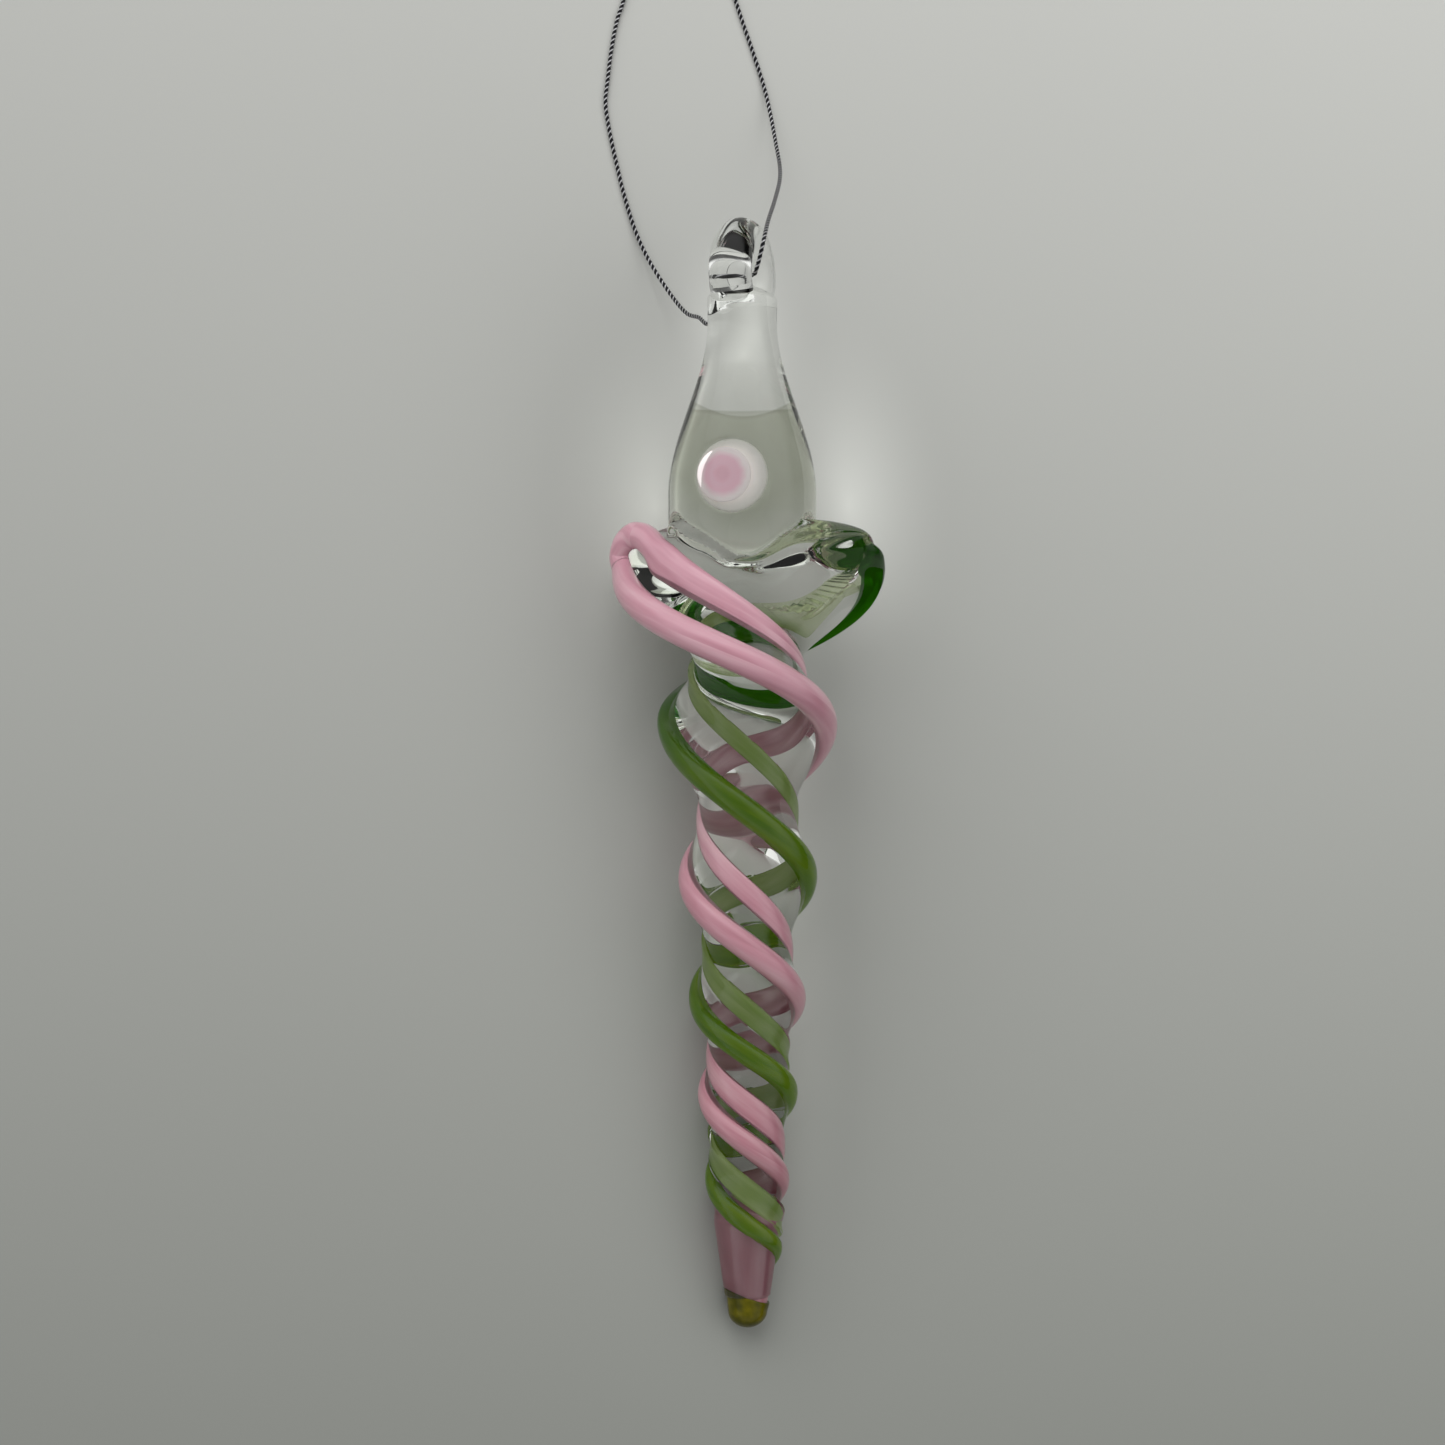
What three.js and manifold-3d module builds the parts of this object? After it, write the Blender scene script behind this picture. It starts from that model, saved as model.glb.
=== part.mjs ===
// A hanging icicle ornament of lampworked glass, at its real size in millimetres, lying on a surface.
// A clear teardrop head with a bent eye runs into a flattened ribbon of clear glass, which was twisted
// to the left while it was pulled thin. A thick strand of coloured glass lies along each edge of the
// ribbon, and a thin one of the same colour along the face beside it. +Y runs along the ornament to its
// eye, +X to the right and +Z up from the surface.
import * as THREE from "three";
import { mergeVertices } from "three/addons/utils/BufferGeometryUtils.js";
import Module from "manifold-3d";

const wasm = await Module();
wasm.setup();

// Gap left between pieces that are fused on the real ornament
const FUSE_GAP = 0.3;

// Ribbon, measured down from the shoulder, with its reach from the axis out to the thick strands
const RIBBON_LENGTH = 88;
const SHOULDER_REACH = 19.6;
const FOOT_REACH = 4.9;
const FLARE_REACH = 6.3;
const FLARE_START = -4;
const FLARE_END = 36;
const SHOULDER_THICKNESS = 15;
const FOOT_THICKNESS = 8;

// Twist: how far the ears are turned back, where the ribbon first lies level, and each half turn from there
const EAR_TURN = 45;
const RIBBON_LEVEL = 8.4;
const HALF_TURNS = [18.9, 18.5, 15.1, 12, 10.8, 9.5, 9];

// Ears: the rounded corners at the top of the ribbon
const EAR_HEIGHT = 3;
const EAR_ROUNDING = 1.5;
const EAR_THINNING = 4;

// Thick strands along the two edges
const EDGE_STRAND_TOP = 3.7;
const EDGE_STRAND_FOOT = 2.5;
const EDGE_STRAND_PROUD = 0.55;
const GREEN_OVERRUN = 8;

// Thin strands along the two faces
const FACE_STRAND = 1.5;
const FACE_STRAND_SWELL = 2;
const FACE_SWELL_LENGTH = 12;
const FACE_STRAND_SUNK = 0.35;
const FACE_STRAND_LAG = 78;
const FACE_LAG_LENGTH = 11;
const FACE_STRAND_STOP = 3;

// Head and neck
const HEAD_LENGTH = 27.6;
const HEAD_DIAMETER = 18.8;
const HEAD_BULGE = 7;
const HEAD_SHIFT = -0.65;
const NECK_DIAMETER = 8.4;
const NECK_FLARE_START = 2.2;
const NECK_FLARE_END = 24.8;
const NECK_DEPTH = 11.8;
const NECK_DEPTH_FADE = 9;
const NECK_DOME = 1.3;

// Eye: a rod bent round a hole and fused to the top of the neck
const EYE_ROD = 5.4;
const EYE_HOLE = 3.7;
const EYE_HOLE_HEIGHT = 3.1;
const EYE_HALF_SWEEP = 125;
const EYE_TURN = 20;

// Dot: a pink disc on a white one, under a clear lens
const DOT_HEIGHT = 4.9;
const DOT_SIDE = -9.5;
const LENS_DIAMETER = 9.6;
const LENS_RISE = 1.3;
const LENS_DEPTH = 0.8;
const WHITE_DIAMETER = 8.4;
const WHITE_THICKNESS = 1.2;
const PINK_DIAMETER = 6.2;
const PINK_THICKNESS = 1;
const PINK_SHIFT = -1.1;

// Tip: a solid pink cone in an olive drop
const TIP_LENGTH = 11.6;
const TIP_TOP_DIAMETER = 8.4;
const TIP_END_DIAMETER = 5;
const DROP_LENGTH = 2.2;
const DROP_RIM = 1.9;

// Thread: one thread through the eye, in two runs that meet in its hole and end at a knot
const THREAD_DIAMETER = 0.6;
const KNOT_RADIUS = 1;
const KNOT_THREAD = 0.64;

// The thread beside the eye, in rod diameters: across the eye's plane, to its front leg and up from its hole
const LEFT_BESIDE_EYE = [
  [-0.04, 0, 0], [-0.37, 0, -0.02], [-0.67, -0.17, -0.17],
  [-0.84, -0.44, -0.44], [-0.93, -0.56, -0.72], [-1.03, -0.46, -1.02],
];
const RIGHT_BESIDE_EYE = [
  [0.04, 0, 0], [0.28, 0.02, 0], [0.44, 0.22, 0.14], [0.63, 0.31, 0.71], [0.51, -0.33, 1.24],
];

// The thread from there down and along the surface: right of the hole, beyond it, and up from the surface
const LEFT_RUN = [
  [-2.7, -3.2, 10.5], [-3, -1.8, 7], [-3.8, 1.4, 3.6], [-5.9, 6.6, 1.3], [-7.3, 10.6, 0.5],
  [-8.6, 15.4, 0.3], [-9.6, 20.2, 0.3], [-10.4, 24.8, 0.3], [-10.7, 28.1, 0.3], [-10.3, 31, 0.3],
  [-9.5, 35.7, 0.3], [-8.5, 39.8, 0.3], [-7.6, 42.2, 0.3], [-5.4, 50.7, 0.3], [-2.4, 60.7, 0.3],
  [0.9, 70.6, 0.3],
];
const RIGHT_RUN = [
  [6.6, 11.4, 15.5], [9.6, 15.9, 10], [11.1, 18.9, 6.5], [12, 23.1, 3.2], [12.2, 27.8, 1.2],
  [11.8, 31.6, 0.45], [10.5, 36.4, 0.3], [9.4, 39.9, 0.3], [8.3, 43.6, 0.3], [6.1, 51.7, 0.3],
  [4, 61.3, 0.3], [2.7, 70.6, 0.3],
];

// How the ornament lies on the surface, in degrees
const LYING_TILT = 7.5;
const LYING_ROLL = -20;

// How finely the round shapes are stepped
const TWIST_STEP = 22.5;
const EAR_STEPS = 4;
const RIBBON_SIDES = 16;
const STRAND_SIDES = 8;
const HEAD_SIDES = 22;
const HEAD_STEPS = 12;
const HEAD_END_STEPS = 5;
const ROUND_SIDES = 20;
const DISC_STEPS = 4;
const DROP_STEPS = 5;
const EYE_SIDES = 14;
const EYE_STEPS = 18;
const THREAD_SIDES = 8;
const THREAD_STEPS = 40;
const KNOT_STEPS = 36;

// Shapes of small roundings, as shares of their radius or height
const END_REACH = 0.7;
const END_SHRINK = 0.6;
const DISC_EDGE = 0.3;
const KNOT_SHAPE = 1.5;

const degrees = THREE.MathUtils.degToRad;
const smoothstep = THREE.MathUtils.smoothstep;
const lerp = THREE.MathUtils.lerp;

// A closed geometry through rings of equal point counts, its ends closed to their middles.
function loft(rings) {
  const count = rings[0].length;
  const points = rings.flat();
  const middle = (ring) => ring.reduce((sum, p) => sum.add(p), new THREE.Vector3()).divideScalar(count);
  const first = points.push(middle(rings[0])) - 1;
  const last = points.push(middle(rings.at(-1))) - 1;
  const top = (rings.length - 1) * count;
  const index = [];
  for (let side = 0; side < count; side += 1) {
    const next = (side + 1) % count;
    index.push(first, next, side);
    index.push(last, top + side, top + next);
    for (let row = 0; row < top; row += count) {
      index.push(row + side, row + next, row + count + next);
      index.push(row + side, row + count + next, row + count + side);
    }
  }
  const geometry = new THREE.BufferGeometry().setFromPoints(points);
  geometry.setIndex(index);
  return signedVolume(geometry) < 0 ? flipped(geometry) : geometry;
}

function signedVolume(geometry) {
  const corner = [0, 1, 2].map(() => new THREE.Vector3());
  const index = geometry.index.array;
  let volume = 0;
  for (let face = 0; face < index.length; face += 3) {
    corner.forEach((point, k) => point.fromBufferAttribute(geometry.attributes.position, index[face + k]));
    volume += corner[0].dot(corner[1].cross(corner[2])) / 6;
  }
  return volume;
}

function flipped(geometry) {
  const index = Array.from(geometry.index.array);
  return geometry.setIndex(index.reverse());
}

// A rod with round sections along stations of centre, radius and an outward direction.
function rod(stations, sides) {
  const rings = stations.map((station, i) => {
    const before = stations[Math.max(i - 1, 0)].centre;
    const after = stations[Math.min(i + 1, stations.length - 1)].centre;
    const along = after.clone().sub(before).normalize();
    const out = station.out.clone().addScaledVector(along, -station.out.dot(along)).normalize();
    const across = along.clone().cross(out);
    return circle(sides).map(([c, s]) =>
      station.centre.clone()
        .addScaledVector(out, c * station.radius)
        .addScaledVector(across, s * station.radius));
  });
  return loft(rings);
}

function circle(sides) {
  const turn = (2 * Math.PI) / sides;
  return Array.from({ length: sides }, (_, i) => [Math.cos(i * turn), Math.sin(i * turn)]);
}

// The cosines and sines inside a quarter turn, both ends left out.
function quarter(steps) {
  const turn = Math.PI / 2 / steps;
  return Array.from({ length: steps - 1 }, (_, i) => [Math.cos((i + 1) * turn), Math.sin((i + 1) * turn)]);
}

// Joins and cuts closed geometries.
function solid(geometry) {
  const bare = geometry.clone();
  bare.deleteAttribute("normal");
  bare.deleteAttribute("uv");
  const merged = mergeVertices(bare, 1e-4);
  return new wasm.Manifold(new wasm.Mesh({
    numProp: 3,
    vertProperties: merged.attributes.position.array,
    triVerts: new Uint32Array(merged.index.array),
  }));
}

function cut(geometry, ...cutters) {
  const left = cutters.reduce((body, cutter) => body.subtract(solid(cutter)), solid(geometry));
  const largest = left.decompose().sort((a, b) => b.volume() - a.volume())[0];
  const mesh = largest.getMesh();
  const points = new THREE.BufferAttribute(new Float32Array(mesh.vertProperties), mesh.numProp);
  return new THREE.BufferGeometry()
    .setAttribute("position", points)
    .setIndex(Array.from(mesh.triVerts));
}

// The ribbon's turn at a drop below the shoulder, smooth through the ears, the level and every half turn
const levelDrops = HALF_TURNS.reduce((drops, length) => [...drops, drops.at(-1) + length], [RIBBON_LEVEL]);
const knotDrops = [0, ...levelDrops];
const knotTurns = [-EAR_TURN, ...levelDrops.map((_, i) => 180 * i)];
const turnCurve = new THREE.CubicInterpolant(knotDrops, knotTurns, 1);
const dropCurve = new THREE.CubicInterpolant(knotTurns, knotDrops, 1);

function twistAngle(drop) {
  return turnCurve.evaluate(drop)[0];
}

function dropAtAngle(angle) {
  return dropCurve.evaluate(angle)[0];
}

function earCorner(drop) {
  const up = THREE.MathUtils.clamp((EAR_HEIGHT - drop) / EAR_HEIGHT, 0, 1);
  return 1 - Math.sqrt(1 - up * up);
}

function reach(drop) {
  const straight = lerp(SHOULDER_REACH - FLARE_REACH, FOOT_REACH, drop / RIBBON_LENGTH);
  const flare = FLARE_REACH * (1 - smoothstep(drop, FLARE_START, FLARE_END));
  return straight + flare - EAR_ROUNDING * earCorner(drop);
}

function halfThickness(drop) {
  return lerp(SHOULDER_THICKNESS, FOOT_THICKNESS, drop / RIBBON_LENGTH) / 2 - EAR_THINNING * earCorner(drop);
}

function edgeRadius(drop) {
  return lerp(EDGE_STRAND_TOP, EDGE_STRAND_FOOT, drop / RIBBON_LENGTH) / 2;
}

function faceRadius(drop) {
  return (FACE_STRAND + FACE_STRAND_SWELL * Math.exp(-drop / FACE_SWELL_LENGTH)) / 2;
}

function coreReach(drop) {
  return reach(drop) - EDGE_STRAND_PROUD * edgeRadius(drop);
}

// A point at a drop below the shoulder, out from the axis at an angle in the ribbon's own section.
function ribbonPoint(drop, angle, out) {
  const turned = degrees(angle - twistAngle(drop));
  return new THREE.Vector3(out * Math.cos(turned), -drop, out * Math.sin(turned));
}

function sectionRadius(drop, angle) {
  const wide = Math.cos(degrees(angle)) / coreReach(drop);
  const thick = Math.sin(degrees(angle)) / halfThickness(drop);
  return 1 / Math.hypot(wide, thick);
}

// Drops from one to another: close together round the ear, and by equal turns of the twist from the level.
function ribbonDrops(from, to) {
  const ear = Array.from({ length: EAR_STEPS + 1 }, (_, i) =>
    EAR_HEIGHT * (1 - Math.cos(((i / EAR_STEPS) * Math.PI) / 2)));
  const steps = Math.ceil(twistAngle(to) / TWIST_STEP);
  const twisted = Array.from({ length: steps }, (_, i) => dropAtAngle(i * TWIST_STEP));
  const within = [...ear, ...twisted].filter((drop) => drop > from + FUSE_GAP && drop < to - FUSE_GAP);
  return [from, ...within, to];
}

function ribbonGeometry() {
  const rings = ribbonDrops(0, RIBBON_LENGTH).map((drop) =>
    circle(RIBBON_SIDES).map(([c, s]) => {
      const wide = c * coreReach(drop);
      const thick = s * halfThickness(drop);
      const angle = THREE.MathUtils.radToDeg(Math.atan2(thick, wide));
      return ribbonPoint(drop, angle, Math.hypot(wide, thick));
    }));
  return loft(rings);
}

function strandStation(drop, angle, out, radius) {
  return { centre: ribbonPoint(drop, angle, out), out: ribbonPoint(drop, angle, 1).setY(0), radius };
}

// A thick strand along one edge, its ends rounded. It tapers away over the overrun past the ribbon.
function edgeStrand(side, overrun, grow = 0) {
  const end = RIBBON_LENGTH + overrun;
  const stations = ribbonDrops(edgeRadius(0), end).map((drop) => {
    const fade = 1 - smoothstep(drop, RIBBON_LENGTH, end + edgeRadius(RIBBON_LENGTH));
    const radius = edgeRadius(Math.min(drop, RIBBON_LENGTH)) * (overrun > 0 ? fade : 1);
    return strandStation(drop, side, reach(drop) - radius, radius + grow);
  });
  return rod(roundEnds(stations, grow), STRAND_SIDES);
}

// A thin strand along the face beside an edge, which it leaves at the ear.
function faceStrand(side, grow = 0) {
  const stations = ribbonDrops(edgeRadius(0), RIBBON_LENGTH - FACE_STRAND_STOP).map((drop) => {
    const angle = side - FACE_STRAND_LAG * (1 - Math.exp(-drop / FACE_LAG_LENGTH));
    const radius = faceRadius(drop);
    return strandStation(drop, angle, sectionRadius(drop, angle) - FACE_STRAND_SUNK * radius, radius + grow);
  });
  return rod(roundEnds(stations, grow), STRAND_SIDES);
}

// Stations with a smaller one past each end, which rounds the rod off.
function roundEnds(stations, grow) {
  const past = (end, inner) => {
    const away = end.centre.clone().sub(inner.centre).normalize();
    const centre = end.centre.clone().addScaledVector(away, end.radius * END_REACH + grow);
    return { centre, out: end.out, radius: end.radius * END_SHRINK };
  };
  return [past(stations[0], stations[1]), ...stations, past(stations.at(-1), stations.at(-2))];
}

// Head: elliptical sections that are deep at the neck and round at the belly
function headRadius(height) {
  const below = HEAD_LENGTH - height;
  return lerp(NECK_DIAMETER, HEAD_DIAMETER, smoothstep(below, NECK_FLARE_START, NECK_FLARE_END)) / 2;
}

function neckExtra(height) {
  const below = HEAD_LENGTH - height;
  return ((NECK_DEPTH - NECK_DIAMETER) / 2) * (1 - smoothstep(below, 0, NECK_DEPTH_FADE));
}

// Directions of the eye's plane: deep runs from its rear leg to its front leg.
const eyeDeep = new THREE.Vector3(-Math.sin(degrees(EYE_TURN)), 0, Math.cos(degrees(EYE_TURN)));
const eyeWide = new THREE.Vector3(Math.cos(degrees(EYE_TURN)), 0, Math.sin(degrees(EYE_TURN)));
const up = new THREE.Vector3(0, 1, 0);
const headAxis = new THREE.Vector3(HEAD_SHIFT, 0, 0);
const holeCentre = headAxis.clone().addScaledVector(up, HEAD_LENGTH + EYE_HOLE_HEIGHT);

function headRing(height, shrink, grow, y) {
  const wide = (headRadius(height) + grow) * shrink;
  const deep = (headRadius(height) + neckExtra(height) + grow) * shrink;
  return circle(HEAD_SIDES).map(([c, s]) =>
    headAxis.clone().addScaledVector(eyeWide, c * wide).addScaledVector(eyeDeep, s * deep).setY(y));
}

function headGeometry(grow = 0) {
  const round = quarter(HEAD_END_STEPS);
  const heights = Array.from({ length: HEAD_STEPS + 1 }, (_, i) => (HEAD_LENGTH * i) / HEAD_STEPS);
  const bulge = round.toReversed().map(([c, s]) => headRing(0, c, grow, -(HEAD_BULGE + grow) * s));
  const body = heights.map((height) => headRing(height, 1, grow, height));
  const dome = round.map(([c, s]) => headRing(HEAD_LENGTH, c, grow, HEAD_LENGTH + (NECK_DOME + grow) * s));
  return loft([...bulge, ...body, ...dome]);
}

// Eye: one rod bent round its hole, both feet on the neck
function eyeGeometry(grow = 0) {
  const bend = (EYE_HOLE + EYE_ROD) / 2;
  const sweep = degrees(EYE_HALF_SWEEP) + grow / bend;
  const stations = Array.from({ length: EYE_STEPS + 1 }, (_, i) => {
    const angle = lerp(-sweep, sweep, i / EYE_STEPS);
    const out = eyeDeep.clone().multiplyScalar(Math.sin(angle)).addScaledVector(up, Math.cos(angle));
    return { centre: holeCentre.clone().addScaledVector(out, bend), out, radius: EYE_ROD / 2 + grow };
  });
  return rod(stations, EYE_SIDES);
}

// Dot: set in the front of the head, its own axis square to the glass
const dotFrame = new THREE.Group();
dotFrame.rotation.set(0, degrees(DOT_SIDE), 0);
dotFrame.position.set(0, DOT_HEIGHT, 0);
dotFrame.translateZ(headRadius(DOT_HEIGHT));
dotFrame.position.add(headAxis);
dotFrame.updateMatrix();

function dotPiece(profile, shift = 0) {
  const points = profile.map(([r, z]) => new THREE.Vector2(r, z));
  return new THREE.LatheGeometry(points, ROUND_SIDES)
    .rotateX(Math.PI / 2)
    .translate(shift, 0, 0)
    .applyMatrix4(dotFrame.matrix);
}

// A disc with a domed top, from its flat floor up.
function domedDisc(radius, floor, top, grow = 0) {
  const side = lerp(floor, top, DISC_EDGE);
  const dome = quarter(DISC_STEPS).map(([c, s]) => [(radius + grow) * c, side + (top + grow - side) * s]);
  return [[0, floor - grow], [radius + grow, floor - grow], [radius + grow, side], ...dome, [0, top + grow]];
}

const lensFloor = -LENS_DEPTH;
const whiteTop = lensFloor - FUSE_GAP;
const lensProfile = (grow) => domedDisc(LENS_DIAMETER / 2, lensFloor, LENS_RISE, grow);
const pinkProfile = (grow) => domedDisc(PINK_DIAMETER / 2, lensFloor, lensFloor + PINK_THICKNESS, grow);
const whiteProfile = (grow) => domedDisc(WHITE_DIAMETER / 2, whiteTop - WHITE_THICKNESS, whiteTop, grow);

// Tip: measured down from the foot of the ribbon
function tipRadius(below) {
  return lerp(TIP_TOP_DIAMETER, TIP_END_DIAMETER, below / TIP_LENGTH) / 2;
}

function tipCone(grow = 0) {
  const end = TIP_LENGTH - DROP_RIM;
  const wall = tipRadius(end) - FUSE_GAP + grow;
  const arc = quarter(DISC_STEPS).map(([c, s]) => [wall * c, -end - (DROP_RIM + grow) * s]);
  const points = [[0, grow], [tipRadius(0) + grow, grow], [wall, -end], ...arc, [0, -end - DROP_RIM - grow]];
  return new THREE.LatheGeometry(points.reverse().map(([r, y]) => new THREE.Vector2(r, y)), ROUND_SIDES)
    .translate(0, -RIBBON_LENGTH - FUSE_GAP, 0);
}

function tipDrop() {
  const rim = TIP_LENGTH - DROP_RIM;
  const side = tipRadius(TIP_LENGTH);
  const round = quarter(DROP_STEPS).map(([c, s]) => [side * c, -TIP_LENGTH - DROP_LENGTH * s]);
  const points = [[0, -rim], [tipRadius(rim), -rim], [side, -TIP_LENGTH], ...round,
    [0, -TIP_LENGTH - DROP_LENGTH]];
  return new THREE.LatheGeometry(points.reverse().map(([r, y]) => new THREE.Vector2(r, y)), ROUND_SIDES)
    .translate(0, -RIBBON_LENGTH - FUSE_GAP, 0);
}

// Thread: in the ornament's own frame, once the glass lies in place
function threadRun(besideEye, run) {
  const hole = glass.localToWorld(holeCentre.clone());
  const beside = besideEye.map(([wide, deep, rise]) => glass.localToWorld(holeCentre.clone()
    .addScaledVector(eyeWide, wide * EYE_ROD)
    .addScaledVector(eyeDeep, deep * EYE_ROD)
    .addScaledVector(up, rise * EYE_ROD)));
  const along = run.map(([x, y, z]) => new THREE.Vector3(hole.x + x, hole.y + y, z));
  return new THREE.CatmullRomCurve3([...beside, ...along]);
}

function threadGeometry(path) {
  const section = new THREE.Shape(circle(THREAD_SIDES).map(([c, s]) =>
    new THREE.Vector2(c, s).multiplyScalar(THREAD_DIAMETER / 2)));
  return new THREE.ExtrudeGeometry(section, { steps: THREAD_STEPS, extrudePath: path });
}

// Knot: an overhand knot flat on the surface, beyond the ends of both runs.
function knotGeometry(...paths) {
  const ends = paths.map((path) => path.getPoint(1));
  const centre = ends[0].lerp(ends[1], 1 / 2);
  const across = KNOT_RADIUS * KNOT_SHAPE + KNOT_THREAD / 2;
  const high = KNOT_RADIUS / 2 + KNOT_THREAD / 2;
  return new THREE.TorusKnotGeometry(KNOT_RADIUS, KNOT_THREAD / 2, KNOT_STEPS, THREAD_SIDES)
    .translate(centre.x, centre.y + FUSE_GAP + across, high);
}

// Finishes
const clearGlass = { color: 0xdfe6df, roughness: 0.05, metalness: 0, transparent: true, opacity: 0.35 };
const finishes = {
  clear: clearGlass,
  pink: { color: 0xe3a8bd, roughness: 0.15, metalness: 0 },
  green: { color: 0x2f7414, roughness: 0.12, metalness: 0 },
  white: { color: 0xf1ede6, roughness: 0.2, metalness: 0 },
  olive: { color: 0x6b6a1a, roughness: 0.12, metalness: 0 },
  thread: { color: 0x8f9093, roughness: 0.35, metalness: 0.8 },
};

function piece(name, finish, geometry) {
  geometry.computeVertexNormals();
  const mesh = new THREE.Mesh(geometry, new THREE.MeshStandardMaterial(finishes[finish]));
  mesh.name = name;
  return mesh;
}

const GREEN_SIDE = 0;
const PINK_SIDE = 180;

const glass = new THREE.Group();
const pinkEdge = (grow) => edgeStrand(PINK_SIDE, 0, grow);
const greenEdge = (grow) => edgeStrand(GREEN_SIDE, GREEN_OVERRUN, grow);
const pinkFace = (grow) => faceStrand(PINK_SIDE, grow);
const greenFace = (grow) => faceStrand(GREEN_SIDE, grow);

glass.add(piece("hanging_eye", "clear", eyeGeometry()));
glass.add(piece("head_gather", "clear", cut(headGeometry(), eyeGeometry(FUSE_GAP),
  dotPiece(lensProfile(FUSE_GAP)), dotPiece(whiteProfile(FUSE_GAP)))));
glass.add(piece("dot_white", "white", dotPiece(whiteProfile(0))));
glass.add(piece("dot_pink", "pink", dotPiece(pinkProfile(0), PINK_SHIFT)));
glass.add(piece("dot_lens", "clear", cut(dotPiece(lensProfile(0)),
  dotPiece(pinkProfile(FUSE_GAP), PINK_SHIFT))));
glass.add(piece("twisted_ribbon", "clear", cut(ribbonGeometry(), headGeometry(FUSE_GAP),
  pinkEdge(FUSE_GAP), greenEdge(FUSE_GAP), pinkFace(FUSE_GAP), greenFace(FUSE_GAP))));
glass.add(piece("pink_edge_strand", "pink", cut(pinkEdge(0), headGeometry(FUSE_GAP), tipCone(FUSE_GAP))));
glass.add(piece("green_edge_strand", "green", cut(greenEdge(0), headGeometry(FUSE_GAP))));
glass.add(piece("pink_face_strand", "pink", cut(pinkFace(0), headGeometry(FUSE_GAP),
  pinkEdge(FUSE_GAP))));
glass.add(piece("green_face_strand", "green", cut(greenFace(0), headGeometry(FUSE_GAP),
  greenEdge(FUSE_GAP))));
glass.add(piece("tip_cone", "pink", cut(tipCone(), greenEdge(FUSE_GAP))));
glass.add(piece("tip_drop", "olive", cut(tipDrop(), tipCone(FUSE_GAP), greenEdge(FUSE_GAP))));

glass.rotation.set(degrees(LYING_TILT), degrees(LYING_ROLL), 0);
glass.updateMatrixWorld(true);
const box = new THREE.Box3().setFromObject(glass, true);
const middle = box.getCenter(new THREE.Vector3());
glass.position.set(-middle.x, -middle.y, -box.min.z);

glass.updateMatrixWorld(true);

const leftPath = threadRun(LEFT_BESIDE_EYE, LEFT_RUN);
const rightPath = threadRun(RIGHT_BESIDE_EYE, RIGHT_RUN);

const ornament = new THREE.Group();
ornament.add(glass);
ornament.add(piece("cord_run_left", "thread", threadGeometry(leftPath)));
ornament.add(piece("cord_run_right", "thread", threadGeometry(rightPath)));
ornament.add(piece("cord_knot", "thread", knotGeometry(leftPath, rightPath)));

export default ornament;
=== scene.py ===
"""Dresses the glass icicle ornament: clear glass, coloured strands, dot, tip and metallic thread.

Lengths inside the classes are millimetres in the glass's own frame: the origin is the middle of the
shoulder, +Y runs up to the eye, +X to the right and +Z to the viewer. LyingPose turns and lifts that
frame into the row frame, in metres. A drop is a distance down from the shoulder.
"""

from __future__ import annotations

import logging
import math
from collections.abc import Sequence
from dataclasses import dataclass
from enum import Enum

import bpy
import numpy as np
from mathutils import Matrix, Vector


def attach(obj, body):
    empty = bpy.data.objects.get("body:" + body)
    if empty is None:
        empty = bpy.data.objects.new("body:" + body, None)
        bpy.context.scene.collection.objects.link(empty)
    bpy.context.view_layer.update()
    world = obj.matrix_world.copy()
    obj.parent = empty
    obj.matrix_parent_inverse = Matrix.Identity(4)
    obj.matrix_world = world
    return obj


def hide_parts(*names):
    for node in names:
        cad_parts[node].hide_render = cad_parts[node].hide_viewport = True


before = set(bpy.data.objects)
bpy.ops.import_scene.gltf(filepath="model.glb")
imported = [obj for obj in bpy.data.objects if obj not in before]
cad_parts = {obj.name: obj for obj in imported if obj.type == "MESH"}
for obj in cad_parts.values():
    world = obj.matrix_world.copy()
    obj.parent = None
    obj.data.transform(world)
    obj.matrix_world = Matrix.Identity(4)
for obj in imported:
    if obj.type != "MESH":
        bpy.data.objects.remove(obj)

LOG = logging.getLogger("icicle")
MM = 0.001
Array = np.ndarray
Colour = tuple[float, float, float]
Socket = bpy.types.NodeSocket
Inputs = dict[str | int, object]
BLACK = (0.0, 0.0, 0.0)
WHITE = (1.0, 1.0, 1.0)
FINE = 60  # points in a stretch of a curve before it is cut into even steps


class Hue(Enum):
    """The two colours of strand, each with the edge of the ribbon that it follows, in degrees."""

    GREEN = 0.0
    PINK = 180.0


def smoothstep(x: Array, low: float, high: float) -> Array:
    """Rises from 0 at low to 1 at high as 3t² - 2t³."""
    t = np.clip((x - low) / (high - low), 0.0, 1.0)
    return t * t * (3.0 - 2.0 * t)


def smooth_max(a: Array, b: Array, round_by: float) -> Array:
    """The larger of a and b, with the crease between them rounded: (a + b + √((a - b)² + k²)) / 2."""
    return 0.5 * (a + b + np.sqrt((a - b) ** 2 + round_by**2))


def bell(x: Array, width: float, power: int = 2) -> Array:
    """A bell of x, 1 at nought: e to the minus (x / width) to a power."""
    return np.exp(-((np.asarray(x) / width) ** power))


def off_from(angle: Array, other: float) -> Array:
    """How far an angle lies from another, in degrees from -180 to 180."""
    return (np.asarray(angle, float) - other + 180.0) % 360.0 - 180.0


def round_angles(count: int) -> Array:
    """Angles evenly round a circle, in radians."""
    return np.linspace(0.0, 2.0 * np.pi, count, endpoint=False)


def lengths_along(path: Array) -> Array:
    """Length of a path from its start to each of its points."""
    return np.concatenate([[0.0], np.cumsum(np.linalg.norm(np.diff(path, axis=0), axis=1))])


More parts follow.
